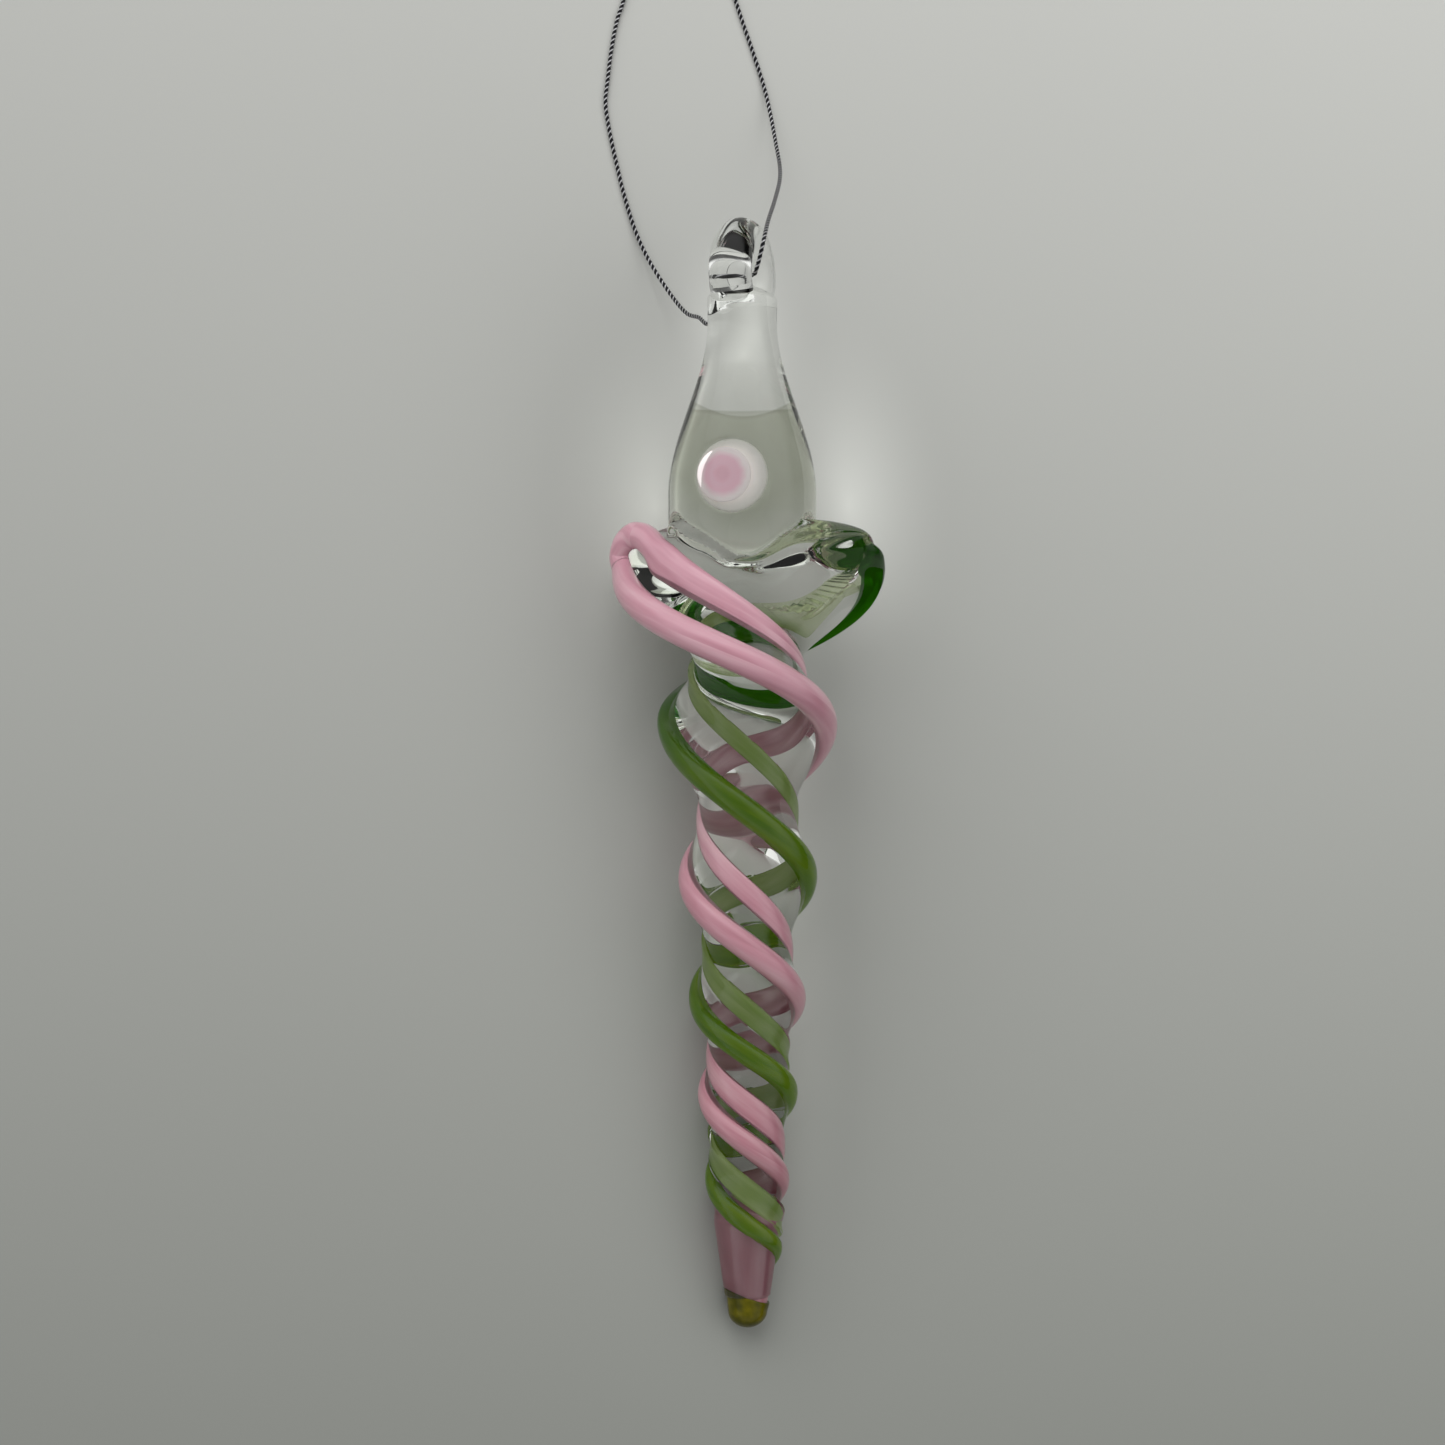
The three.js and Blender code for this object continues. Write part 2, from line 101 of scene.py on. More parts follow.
def cubic_through(knots: Array, values: Array, at: Array) -> Array:
    """A smooth curve through values at knots.

    Each stretch is a Hermite cubic whose end slopes are those of the chord over the two
    neighbouring stretches, with no curvature at the first and last knot.

    Args:
        knots: rising positions.
        values: the value at each knot.
        at: positions to work out, kept within the knots.

    Returns:
        The value at each position.
    """
    at = np.clip(at, knots[0], knots[-1])
    i = np.clip(np.searchsorted(knots, at, side="right"), 1, len(knots) - 1)
    before, after = np.maximum(i - 2, 0), np.minimum(i + 1, len(knots) - 1)
    t0, t1 = knots[i - 1], knots[i]
    gap_before = np.where(i > 1, t0 - knots[before], t0 - t1)
    gap_after = np.where(i < len(knots) - 1, knots[after] - t1, t0 - t1)
    value_before = np.where(i > 1, values[before], values[i])
    value_after = np.where(i < len(knots) - 1, values[after], values[i - 1])
    w0, w1 = 0.5 * (t1 - t0) / gap_before, 0.5 * (t1 - t0) / gap_after
    p = (at - t0) / (t1 - t0)
    p2, p3 = p * p, p * p * p
    return (
        (-w0 * p3 + 2 * w0 * p2 - w0 * p) * value_before
        + ((1 + w0) * p3 - (1.5 + 2 * w0) * p2 + (w0 - 0.5) * p + 1) * values[i - 1]
        + (-(1 + w1) * p3 + (1.5 + w1) * p2 + 0.5 * p) * values[i]
        + (w1 * p3 - w1 * p2) * value_after
    )


def smooth_curve(chosen: Array, step: float) -> Array:
    """A centripetal Catmull-Rom curve through the chosen points, in even steps.

    Each stretch is a Hermite cubic whose slopes come from its four nearest points, spaced by
    the square root of their distances.

    Args:
        chosen: the points.
        step: distance between the points of the curve.

    Returns:
        The curve's points.
    """
    ends = np.vstack([2 * chosen[0] - chosen[1], chosen, 2 * chosen[-1] - chosen[-2]])
    gaps = np.sqrt(np.linalg.norm(np.diff(ends, axis=0), axis=1))
    d0, d1, d2 = gaps[:-2, None], gaps[1:-1, None], gaps[2:, None]
    p0, p1, p2, p3 = ends[:-3], ends[1:-2], ends[2:-1], ends[3:]
    m1 = ((p1 - p0) / d0 - (p2 - p0) / (d0 + d1) + (p2 - p1) / d1) * d1
    m2 = ((p2 - p1) / d1 - (p3 - p1) / (d1 + d2) + (p3 - p2) / d2) * d1
    t = np.linspace(0.0, 1.0, FINE, endpoint=False)[None, :, None]
    h = [2 * t**3 - 3 * t**2 + 1, t**3 - 2 * t**2 + t, -2 * t**3 + 3 * t**2, t**3 - t**2]
    parts = [p1, m1, p2, m2]
    fine = sum(w * part[:, None, :] for w, part in zip(h, parts)).reshape(-1, 3)
    fine = np.vstack([fine, chosen[-1]])
    length = lengths_along(fine)
    even = np.linspace(0.0, length[-1], int(length[-1] / step) + 1)
    return np.stack([np.interp(even, length, fine[:, k]) for k in range(3)], -1)


@dataclass(frozen=True)
class LyingPose:
    """How the glass lies on the surface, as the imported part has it.

    Attributes:
        tilt: turn about X in degrees, which lowers the tip.
        roll: turn about Y in degrees.
        shoulder: place of the shoulder's middle in the row frame, mm.
    """

    tilt: float = 7.5
    roll: float = -20.0
    shoulder: tuple[float, float, float] = (0.0, 31.786, 16.047)

    def turn(self) -> Array:
        """The 3 by 3 matrix of the roll followed by the tilt."""
        a, b = math.radians(self.tilt), math.radians(self.roll)
        tilt = np.array([[1, 0, 0], [0, math.cos(a), -math.sin(a)], [0, math.sin(a), math.cos(a)]])
        roll = np.array([[math.cos(b), 0, math.sin(b)], [0, 1, 0], [-math.sin(b), 0, math.cos(b)]])
        return tilt @ roll

    def place(self, points: Array) -> Array:
        """Carries points, in an array of any shape, from the glass's frame in mm to the row frame in metres."""
        placed = (np.reshape(points, (-1, 3)) @ self.turn().T + np.array(self.shoulder)) * MM
        return placed.reshape(np.shape(points))


POSE = LyingPose()


@dataclass(frozen=True)
class Ribbon:
    """The flattened and twisted clear ribbon, whose sizes the part's source gives.

    Its section at each drop is an ellipse, and its two edges carry the thick strands. What tapers
    has one value at the shoulder or top and one at the foot. The reach is from the axis to the
    outside of the thick strands, and the flare adds to it near the shoulder. The fold under the
    head dips in a saddle in front and behind, and rises in a lobe beside each arm.
    """

    length: float = 88.0
    shoulder_reach: float = 19.2
    foot_reach: float = 4.9
    flare: float = 6.3
    flare_from: float = -4.0
    flare_to: float = 36.0
    shoulder_thickness: float = 15.0
    foot_thickness: float = 8.0
    ear_turn: float = 45.0
    level: float = 8.4
    half_turns: tuple[float, ...] = (18.9, 18.5, 15.1, 12.0, 10.8, 9.5, 9.0)
    ear_height: float = 3.0
    ear_rounding: float = 1.5
    edge_top: float = 3.7
    edge_foot: float = 2.5
    edge_proud: float = 0.55
    face_sunk: float = 0.35
    face_lag: float = 78.0
    face_lag_length: float = 11.0
    arm_ease: float = 20.0
    arm_ease_width: float = 60.0
    arm_ease_length: float = 8.0
    ear_drop: float = 1.5
    front_growth: float = 2.2
    left_growth: float = 3.6
    right_growth: float = 3.2
    ear_power: float = 2.3
    ear_from: tuple[float, float] = (0.3, 0.95)
    saddle: float = 3.2
    saddle_at: float = 93.0
    saddle_width: float = 33.0
    lobe: float = 1.6
    lobe_away: float = 62.0
    lobe_width: float = 11.0

    def twist(self, drop: Array) -> Array:
        """The turn of the section at a drop, in degrees: smooth through the ears and each half turn.

        Args:
            drop: distance down from the shoulder.

        Returns:
            The turn.
        """
        levels = self.level + np.concatenate([[0.0], np.cumsum(self.half_turns)])
        knots = np.concatenate([[0.0], levels])
        turns = np.concatenate([[-self.ear_turn], 180.0 * np.arange(len(levels))])
        return cubic_through(knots, turns, np.asarray(drop, float))

    def turned(self, drop: Array, angle: Array) -> Array:
        """Direction of an angle of the section from +X to +Z, in radians.

        It is angle - twist, less an ease near the left arm's end, which turned back less far.

        Args:
            drop: distance down.
            angle: from the long axis, in degrees.

        Returns:
            The direction.
        """
        ease = self.arm_ease * bell(off_from(angle, Hue.PINK.value), self.arm_ease_width)
        ease = ease * (1.0 - smoothstep(drop, 0.0, self.arm_ease_length))
        return np.radians(angle - self.twist(drop) - ease)

    def fold(self, turned: Array) -> Array:
        """Drop of the line along which the ribbon folds out of the head, by direction in radians.

        It is low in the middle of the front and the back, and rises in a lobe beside each arm.

        Args:
            turned: direction from +X to +Z, in radians.

        Returns:
            The drop of the fold.
        """
        away = np.abs(np.degrees(turned) % 180.0 - self.saddle_at)
        dip = self.saddle * bell(away, self.saddle_width, 3)
        return self.ear_drop + dip - self.lobe * bell(away - self.lobe_away, self.lobe_width)

    def grown(self, drop: Array, angle: Array, turned: Array) -> Array:
        """Share of its full size that the section has grown to below the fold.

        It is (1 - ((h - d) / h)^p)^(1 / p) for a depth d under the fold, where h is short at the
        front and the back and longest at the right ear.

        Args:
            drop: distance down, less than nought over the shoulder.
            angle: from the long axis, in degrees.
            turned: the same as a direction, in radians.

        Returns:
            The share, from 0 to 1.
        """
        long_axis = np.cos(np.radians(angle))
        ear = np.where(long_axis > 0, self.right_growth, self.left_growth)
        height = self.front_growth + (ear - self.front_growth) * smoothstep(np.abs(long_axis), *self.ear_from)
        left = np.clip((height - (drop - self.fold(turned))) / height, 0.0, 1.0)
        return (1.0 - left**self.ear_power) ** (1.0 / self.ear_power)

    def share(self, drop: Array) -> Array:
        """How far down the ribbon a drop lies, from 0 to 1."""
        return np.asarray(drop, float) / self.length

    def reach(self, drop: Array) -> Array:
        """From the axis to the outside of the thick strands: a straight taper and a smooth flare.

        Args:
            drop: distance down.

        Returns:
            The reach, mm.
        """
        top = self.shoulder_reach - self.flare
        straight = top + (self.foot_reach - top) * self.share(drop)
        corner = np.clip((self.ear_height - drop) / self.ear_height, 0.0, 1.0)
        rounding = self.ear_rounding * (1.0 - np.sqrt(1.0 - corner**2))
        return straight + self.flare * (1.0 - smoothstep(drop, self.flare_from, self.flare_to)) - rounding

    def edge_radius(self, drop: Array) -> Array:
        """Radius of a thick strand."""
        share = np.minimum(self.share(drop), 1.0)
        return 0.5 * (self.edge_top + (self.edge_foot - self.edge_top) * share)

    def half_thickness(self, drop: Array) -> Array:
        """Half the section's short width."""
        top, foot = self.shoulder_thickness, self.foot_thickness
        return 0.5 * (top + (foot - top) * self.share(drop))

    def half_width(self, drop: Array) -> Array:
        """Half the section's long width, up to where the thick strands are sunk in."""
        return self.reach(drop) - self.edge_proud * self.edge_radius(drop)

    def section(self, drop: Array, angle: Array) -> Array:
        """The ellipse's radius at an angle from its long axis, in degrees: 1 / √((cos/w)² + (sin/t)²)."""
        a = np.radians(angle)
        return 1.0 / np.hypot(np.cos(a) / self.half_width(drop), np.sin(a) / self.half_thickness(drop))

    def point(self, drop: Array, angle: Array, out: Array) -> Array:
        """A point out from the axis at an angle in the turned section."""
        turned = self.turned(drop, angle)
        return np.stack([out * np.cos(turned), -np.asarray(drop) + 0.0 * turned, out * np.sin(turned)], -1)

    def facing(self, drop: Array, angle: Array) -> Array:
        """The direction in which the section's ellipse faces at an angle: (cos a / w², sin a / t²).

        Args:
            drop: distance down.
            angle: from the long axis, in degrees.

        Returns:
            The direction's X, Y and Z.
        """
        a = np.radians(angle)
        x, z = np.cos(a) / self.half_width(drop) ** 2, np.sin(a) / self.half_thickness(drop) ** 2
        turned = np.arctan2(z, x) - a + self.turned(drop, angle)
        return np.stack([np.cos(turned), 0.0 * turned, np.sin(turned)], -1)


RIBBON = Ribbon()


class Nodes:
    """The nodes of one material or of the world, each made, set and fed by one call."""

    def __init__(self, tree: bpy.types.NodeTree) -> None:
        """Starts with an empty tree."""
        tree.nodes.clear()
        self.tree = tree

    def add(self, kind: str, inputs: Inputs | None = None, **settings: str) -> bpy.types.Node:
        """Makes a node.

        Args:
            kind: its type, without the leading ShaderNode.
            inputs: by name or number, a value to set or another node's output to link.
            settings: its own options, such as its operation.

        Returns:
            The node.
        """
        node = self.tree.nodes.new(f"ShaderNode{kind}")
        for name, value in settings.items():
            setattr(node, name, value)
        for name, value in (inputs or {}).items():
            socket = node.inputs[name]
            if isinstance(value, Socket):
                self.tree.links.new(value, socket)
            else:
                socket.default_value = (*value, 1.0) if socket.type == "RGBA" else value
        return node

    def place(self) -> Socket:
        """The point's place in the object's own frame, in metres."""
        return self.add("TexCoord").outputs["Object"]

    def on_strand(self) -> Socket:
        """The point's place on the UV map "strand": mm along it and turns around it."""
        return self.add("UVMap", uv_map="strand").outputs["UV"]

    def crown(self) -> Socket:
        """The attribute "crown", which a piece carries from 0 to 1."""
        return self.add("Attribute", attribute_name="crown").outputs["Fac"]

    def maths(self, operation: str, *values: float | Socket) -> Socket:
        """Works out one value from others."""
        return self.add("Math", dict(enumerate(values)), operation=operation).outputs["Value"]

    def along(self, where: Socket, axis: Array) -> Socket:
        """How far a place lies along an axis: their dot product."""
        return self.add("VectorMath", {0: where, 1: axis.tolist()}, operation="DOT_PRODUCT").outputs["Value"]

    def part(self, where: Socket, axis: str) -> Socket:
        """One coordinate of a place."""
        return self.add("SeparateXYZ", {"Vector": where}).outputs[axis]

    def spread(self, value: Socket, low: float, high: float, first: float = 0.0, last: float = 1.0) -> Socket:
        """Carries a value between low and high to one between first and last."""
        ends = {"From Min": low, "From Max": high, "To Min": first, "To Max": last}
        return self.add("MapRange", {"Value": value, **ends}).outputs["Result"]

    def noise(self, where: Socket, scale: float, detail: float, stretch: Colour = WHITE) -> Socket:
        """A noise.

        Args:
            where: the place that it is read at.
            scale: cells in a unit of that place.
            detail: octaves.
            stretch: factor of the place along X, Y and Z.

        Returns:
            Its value, from 0 to 1.
        """
        stretched = self.add("Mapping", {"Vector": where, "Scale": stretch}).outputs["Vector"]
        return self.add("TexNoise", {"Vector": stretched, "Scale": scale, "Detail": detail}).outputs["Fac"]

    def ball(self, where: Socket, middle: Sequence[float], radii: Sequence[float], kind: str) -> Socket:
        """A soft ball.

        Args:
            where: the place that it is read at.
            middle: its middle.
            radii: its radii along X, Y and Z.
            kind: how it falls off, a gradient's type.

        Returns:
            Its value, 1 in the middle and 0 from its surface on.
        """
        inside = self.add("Mapping", {"Vector": where, "Location": middle, "Scale": radii}, vector_type="TEXTURE")
        return self.add("TexGradient", {"Vector": inside.outputs["Vector"]}, gradient_type=kind).outputs["Fac"]

    def ramp(self, value: Socket, positions: Sequence[float], colours: Sequence[Colour]) -> Socket:
        """Colours a value.

        Args:
            value: what it colours, from 0 to 1.
            positions: where the stops lie on it.
            colours: the stops' colours.

        Returns:
            The colour.
        """
        node = self.add("ValToRGB", {"Fac": value})
        elements = node.color_ramp.elements
        while len(elements) < len(positions):
            elements.new(0.5)
        for element, position, colour in zip(elements, positions, colours):
            element.position = position
            element.color = (*colour, 1.0)
        return node.outputs["Color"]

    def mix(self, share: float | Socket, first: Socket, second: Colour | Socket, blend: str = "MIX") -> Socket:
        """Mixes two colours."""
        return self.add("MixRGB", {"Fac": share, "Color1": first, "Color2": second}, blend_type=blend).outputs["Color"]

    def bump(self, height: Socket, strength: float, distance: float) -> Socket:
        """A bumped normal from a height."""
        return self.add("Bump", {"Height": height, "Strength": strength, "Distance": distance}).outputs["Normal"]


@dataclass(frozen=True)
class Finish:
    """A finish: one shader, and a volume where light goes through the piece."""

    name: str

    def surface(self, nodes: Nodes) -> Inputs:
        """The shader's inputs.

        Args:
            nodes: the material's.

        Returns:
            By name, the value or the socket that each input takes.
        """
        raise NotImplementedError

    def volume(self) -> Inputs | None:
        """The volume's colour and its density per metre, or none."""
        return None

    def material(self) -> bpy.types.Material:
        """Builds the material."""
        material = bpy.data.materials.new(self.name)
        material.use_nodes = True
        nodes = Nodes(material.node_tree)
        ends = {"Surface": nodes.add("BsdfPrincipled", self.surface(nodes)).outputs["BSDF"]}
        inside = self.volume()
        if inside:
            ends["Volume"] = nodes.add("VolumeAbsorption", inside).outputs["Volume"]
        nodes.add("OutputMaterial", ends)
        return material


@dataclass(frozen=True)
class ClearGlass(Finish):
    """Flame-polished clear glass with slow ripples, coloured by its own thickness, with painted shade over the head's
    lower part.

    Attributes:
        painted_shade: painted shade over the head's lower part, of the shadowed floor seen through it,
            with painted_shade_line, a darker painted line of shade, along its upper edge.
        painted_shade_zone: heights over the shoulder where each of its colours is reached, mm.
        painted_shade_bow: how fast its edges drop sideways, times the distance squared, per metre.
        over_dot: radius about the dot without painted shade, as a share of the lens's diameter.
        over_dot_fade: share of that radius over which the painted shade returns.
        absorbs: colour that the light keeps, and density how fast it loses the rest, per metre.
        ripple_scale: ripples in a metre, times ripple_stretch along X, Y and Z.
        ripple: their height, metres.
    """

    name: str = "clear_finish"
    painted_shade: Colour = (0.70, 0.715, 0.63)
    painted_shade_line: Colour = (0.56, 0.57, 0.50)
    painted_shade_zone: tuple[float, ...] = (-4.0, 1.5, 11.6, 12.1, 12.3)
    painted_shade_bow: float = 60.0
    over_dot: float = 0.52
    over_dot_fade: float = 0.12
    absorbs: Colour = (0.80, 0.88, 0.74)
    density: float = 12.0
    ior: float = 1.47
    gloss: float = 0.36
    ripple_scale: float = 130.0
    ripple_stretch: Colour = (1.0, 0.45, 1.0)
    ripple: float = 0.00006

    def painted_shade_colour(self, nodes: Nodes) -> Socket:
        """Its surface colour: painted shade over its zone, and none outside that or over the dot.

        A point's height in the zone is its height on the glass less painted_shade_bow times the square of
        its distance aside, so the upper edge is a bow with a darker painted line of shade just under it.

        Args:
            nodes: the material's.

        Returns:
            The colour.
        """
        where = nodes.place()
        turn, shoulder = POSE.turn(), np.array(POSE.shoulder) * MM
        up, right = turn[:, 1], turn[:, 0]
        height = nodes.maths("SUBTRACT", nodes.along(where, up), float(shoulder @ up))
        aside = nodes.maths("SUBTRACT", nodes.along(where, right), float(shoulder @ right) + HEAD.shift * MM)
        bowed = nodes.maths("MULTIPLY_ADD", nodes.maths("MULTIPLY", aside, aside), -self.painted_shade_bow, height)
        low, high = self.painted_shade_zone[0], self.painted_shade_zone[-1]
        positions = [(y - low) / (high - low) for y in self.painted_shade_zone]
        # Painted shade: the shadowed floor seen through the head's lower part, with a darker painted line of shade
        # along its upper edge.
        colours = (WHITE, self.painted_shade, self.painted_shade, self.painted_shade_line, WHITE)
        zone = nodes.ramp(nodes.spread(bowed, low * MM, high * MM), positions, colours)
        middle = POSE.place(HEAD.dot_point(0.5)).tolist()
        ball = nodes.ball(where, middle, [self.over_dot * HEAD.lens_diameter * MM] * 3, "SPHERICAL")
        return nodes.mix(nodes.ramp(ball, (0.0, self.over_dot_fade), (BLACK, WHITE)), zone, WHITE)

    def surface(self, nodes: Nodes) -> Inputs:
        """The shader's inputs."""
        ripples = nodes.noise(nodes.place(), self.ripple_scale, 1.0, self.ripple_stretch)
        return {
            "Base Color": self.painted_shade_colour(nodes), "Roughness": 0.0, "IOR": self.ior, "Transmission Weight": 1.0,
            "Specular IOR Level": self.gloss, "Normal": nodes.bump(ripples, 1.0, self.ripple),
        }

    def volume(self) -> Inputs:
        """The volume's colour and its density per metre."""
        return {"Color": self.absorbs, "Density": self.density}


@dataclass(frozen=True)
class OpaqueGlass(Finish):
    """Opaque coloured glass with faint streaks drawn out along the strand, under a glossy skin, with painted light of
    its own and painted shade towards the foot.

    Attributes:
        colours: the streaks' deep, middle and pale colour.
        streak_at: the noise's values at which each is full.
        streak: streaks in a mm along it and in a turn round it.
        roughness: of the glass itself.
        scatter: share of the light that scatters inside it.
        scatter_reach: how far red, green and blue do, metres.
        painted_glow: painted light of its own, standing in for the light that reaches it through the glass around.
        foot_painted_shade: what its colour is multiplied by at the foot, painted shade for the light falling off
            downwards.
        shade_over: Y between which that fades out, metres.
        coat: strength and roughness of the skin.
        wave: waves in a mm along it and in a turn round it.
        wave_bump: their strength, and their height in metres.
    """

    colours: tuple[Colour, Colour, Colour]
    streak_at: tuple[float, float, float] = (0.28, 0.48, 0.74)
    streak: tuple[float, float] = (0.05, 5.0)
    roughness: float = 0.28
    scatter: float = 0.12
    scatter_reach: Colour = (0.0016, 0.0008, 0.001)
    painted_glow: float = 0.06
    foot_painted_shade: Colour = (0.68, 0.57, 0.56)
    shade_over: tuple[float, float] = (-0.060, 0.030)
    coat: tuple[float, float] = (0.6, 0.12)
    wave: tuple[float, float] = (0.5, 2.0)
    wave_bump: tuple[float, float] = (0.5, 0.0001)

    def surface(self, nodes: Nodes) -> Inputs:
        """The shader's inputs."""
        where = nodes.on_strand()
        streaks = nodes.ramp(nodes.noise(where, 1.0, 3.0, (*self.streak, 1.0)), self.streak_at, self.colours)
        # Painted shade: the colour darkens towards the foot, for the light falling off downwards.
        down = nodes.spread(nodes.part(nodes.place(), "Y"), *self.shade_over)
        shade = nodes.ramp(down, (0.0, 1.0), (self.foot_painted_shade, WHITE))
        colour = nodes.mix(1.0, streaks, shade, "MULTIPLY")
        waves = nodes.noise(where, 1.0, 1.0, (*self.wave, 1.0))
        return {
            "Base Color": colour, "Roughness": self.roughness,
            # Painted light of its own, for the light that reaches it through the glass around.
            "Emission Color": colour, "Emission Strength": self.painted_glow,
            "Subsurface Weight": self.scatter, "Subsurface Radius": self.scatter_reach, "Subsurface Scale": 1.0,
            "Coat Weight": self.coat[0], "Coat Roughness": self.coat[1],
            "Normal": nodes.bump(waves, *self.wave_bump),
        }


@dataclass(frozen=True)
class InnerGlass(Finish):
    """Coloured glass inside the clear glass: it bends no light there, and only takes colour out of it.

    Attributes:
        passes: colour left after the light has crossed a unit of it.
        density: how fast it takes the rest, per metre.
        face: colour of its surface in the streaks.
        cloudy: colour of its surface between them.
        cloud: milky share of the surface far along the strand.
        cloud_start: the same at the strand's start.
        cloud_along: mm along the strand between which that share changes.
        pale_face: colour of its surface towards the eye.
        pale_over: Y between which it takes that colour, metres.
        painted_glow: painted light of its own, standing in for the light that reaches it through the glass around.
        streak: streaks in a mm along it and in a turn round it.
        streak_at: the noise's values at which face and cloudy are full.
    """

    passes: Colour
    density: float
    face: Colour
    cloudy: Colour
    cloud: float
    cloud_along: tuple[float, float]
    cloud_start: float
    pale_over: tuple[float, float]
    pale_face: Colour = (0.68, 0.72, 0.56)
    painted_glow: float = 0.04
    streak: tuple[float, float] = (0.09, 5.0)
    streak_at: tuple[float, float] = (0.35, 0.8)

    def surface(self, nodes: Nodes) -> Inputs:
        """The shader's inputs."""
        where = nodes.on_strand()
        tone = nodes.ramp(nodes.noise(where, 1.0, 3.0, (*self.streak, 1.0)), self.streak_at, (self.face, self.cloudy))
        clear = nodes.spread(nodes.part(where, "X"), *self.cloud_along, 1.0 - self.cloud_start, 1.0 - self.cloud)
        up = nodes.spread(nodes.part(nodes.place(), "Y"), *self.pale_over)
        colour = nodes.mix(up, tone, self.pale_face)
        return {
            "Base Color": colour, "Roughness": 0.0, "IOR": 1.0, "Transmission Weight": clear,
            # Painted light of its own, for the light that reaches it through the glass around.
            "Emission Color": colour, "Emission Strength": self.painted_glow,
        }

    def volume(self) -> Inputs:
        """The volume's colour and its density per metre."""
        return {"Color": self.passes, "Density": self.density}


@dataclass(frozen=True)
class DeepGlass(Finish):
    """Dark glass in the air, with mottled streaks.

    Attributes:
        colours: its dark, middle and bright colour.
        streak_at: the noise's values at which each is full.
        streak_scale: streaks in a metre.
        roughness: of its surface.
        ior: refractive index.
        gloss: level of its reflections.
    """

    colours: tuple[Colour, Colour, Colour]
    streak_at: tuple[float, float, float] = (0.3, 0.5, 0.75)
    streak_scale: float = 500.0
    roughness: float = 0.2
    ior: float = 1.47
    gloss: float = 0.25

    def surface(self, nodes: Nodes) -> Inputs:
        """The shader's inputs."""
        streaks = nodes.noise(nodes.place(), self.streak_scale, 2.0)
        return {
            "Base Color": nodes.ramp(streaks, self.streak_at, self.colours), "Roughness": self.roughness,
            "IOR": self.ior, "Specular IOR Level": self.gloss,
        }


@dataclass(frozen=True)
class DotGlass(Finish):
    """Opaque glass under the lens, whose colour runs out softly towards its rim.

    Attributes:
        colours: its colour at the core, in the middle and at the rim.
        stops: shares of the radius where the core ends, the middle begins and ends, and the rim begins.
        grain: how much a fine noise moves those shares.
        grain_scale: its grains in a metre.
        painted_glow: painted light of its own, standing in for the light that reaches it through the lens.
        roughness: of its surface.
    """

    colours: tuple[Colour, Colour, Colour]
    stops: tuple[float, float, float, float] = (0.12, 0.45, 0.7, 0.96)
    grain: float = 0.16
    grain_scale: float = 900.0
    painted_glow: float = 0.16
    roughness: float = 0.7

    def surface(self, nodes: Nodes) -> Inputs:
        """The shader's inputs."""
        noise = nodes.noise(nodes.place(), self.grain_scale, 3.0)
        spread = nodes.maths("MULTIPLY_ADD", noise, self.grain, nodes.crown())
        core, middle, rim = self.colours
        colour = nodes.ramp(spread, self.stops, (core, middle, middle, rim))
        return {
            # Painted light of its own, for the light that reaches it through the lens.
            "Base Color": colour, "Emission Color": colour, "Emission Strength": self.painted_glow,
            "Roughness": self.roughness, "Specular IOR Level": 0.0,
        }


@dataclass(frozen=True)
class MetallicThread(Finish):
    """Two plies of silver film twisted round each other, with painted shade where they meet.

    Attributes:
        colours: the painted shade between the plies, and the silver on them.
        crown_at: the ply's heights at which each is full.
        metal: share of its surface that is bare metal.
        roughness: of its surface.
    """

    name: str = "thread_finish"
    colours: tuple[Colour, Colour] = ((0.015, 0.015, 0.018), (0.62, 0.62, 0.64))
    crown_at: tuple[float, float] = (0.70, 0.86)
    metal: float = 0.75
    roughness: float = 0.32

    def surface(self, nodes: Nodes) -> Inputs:
        """The shader's inputs."""
        # Painted shade in the grooves between the plies, silver on their crowns.
        colour = nodes.ramp(nodes.crown(), self.crown_at, self.colours)
        return {"Base Color": colour, "Metallic": self.metal, "Roughness": self.roughness}


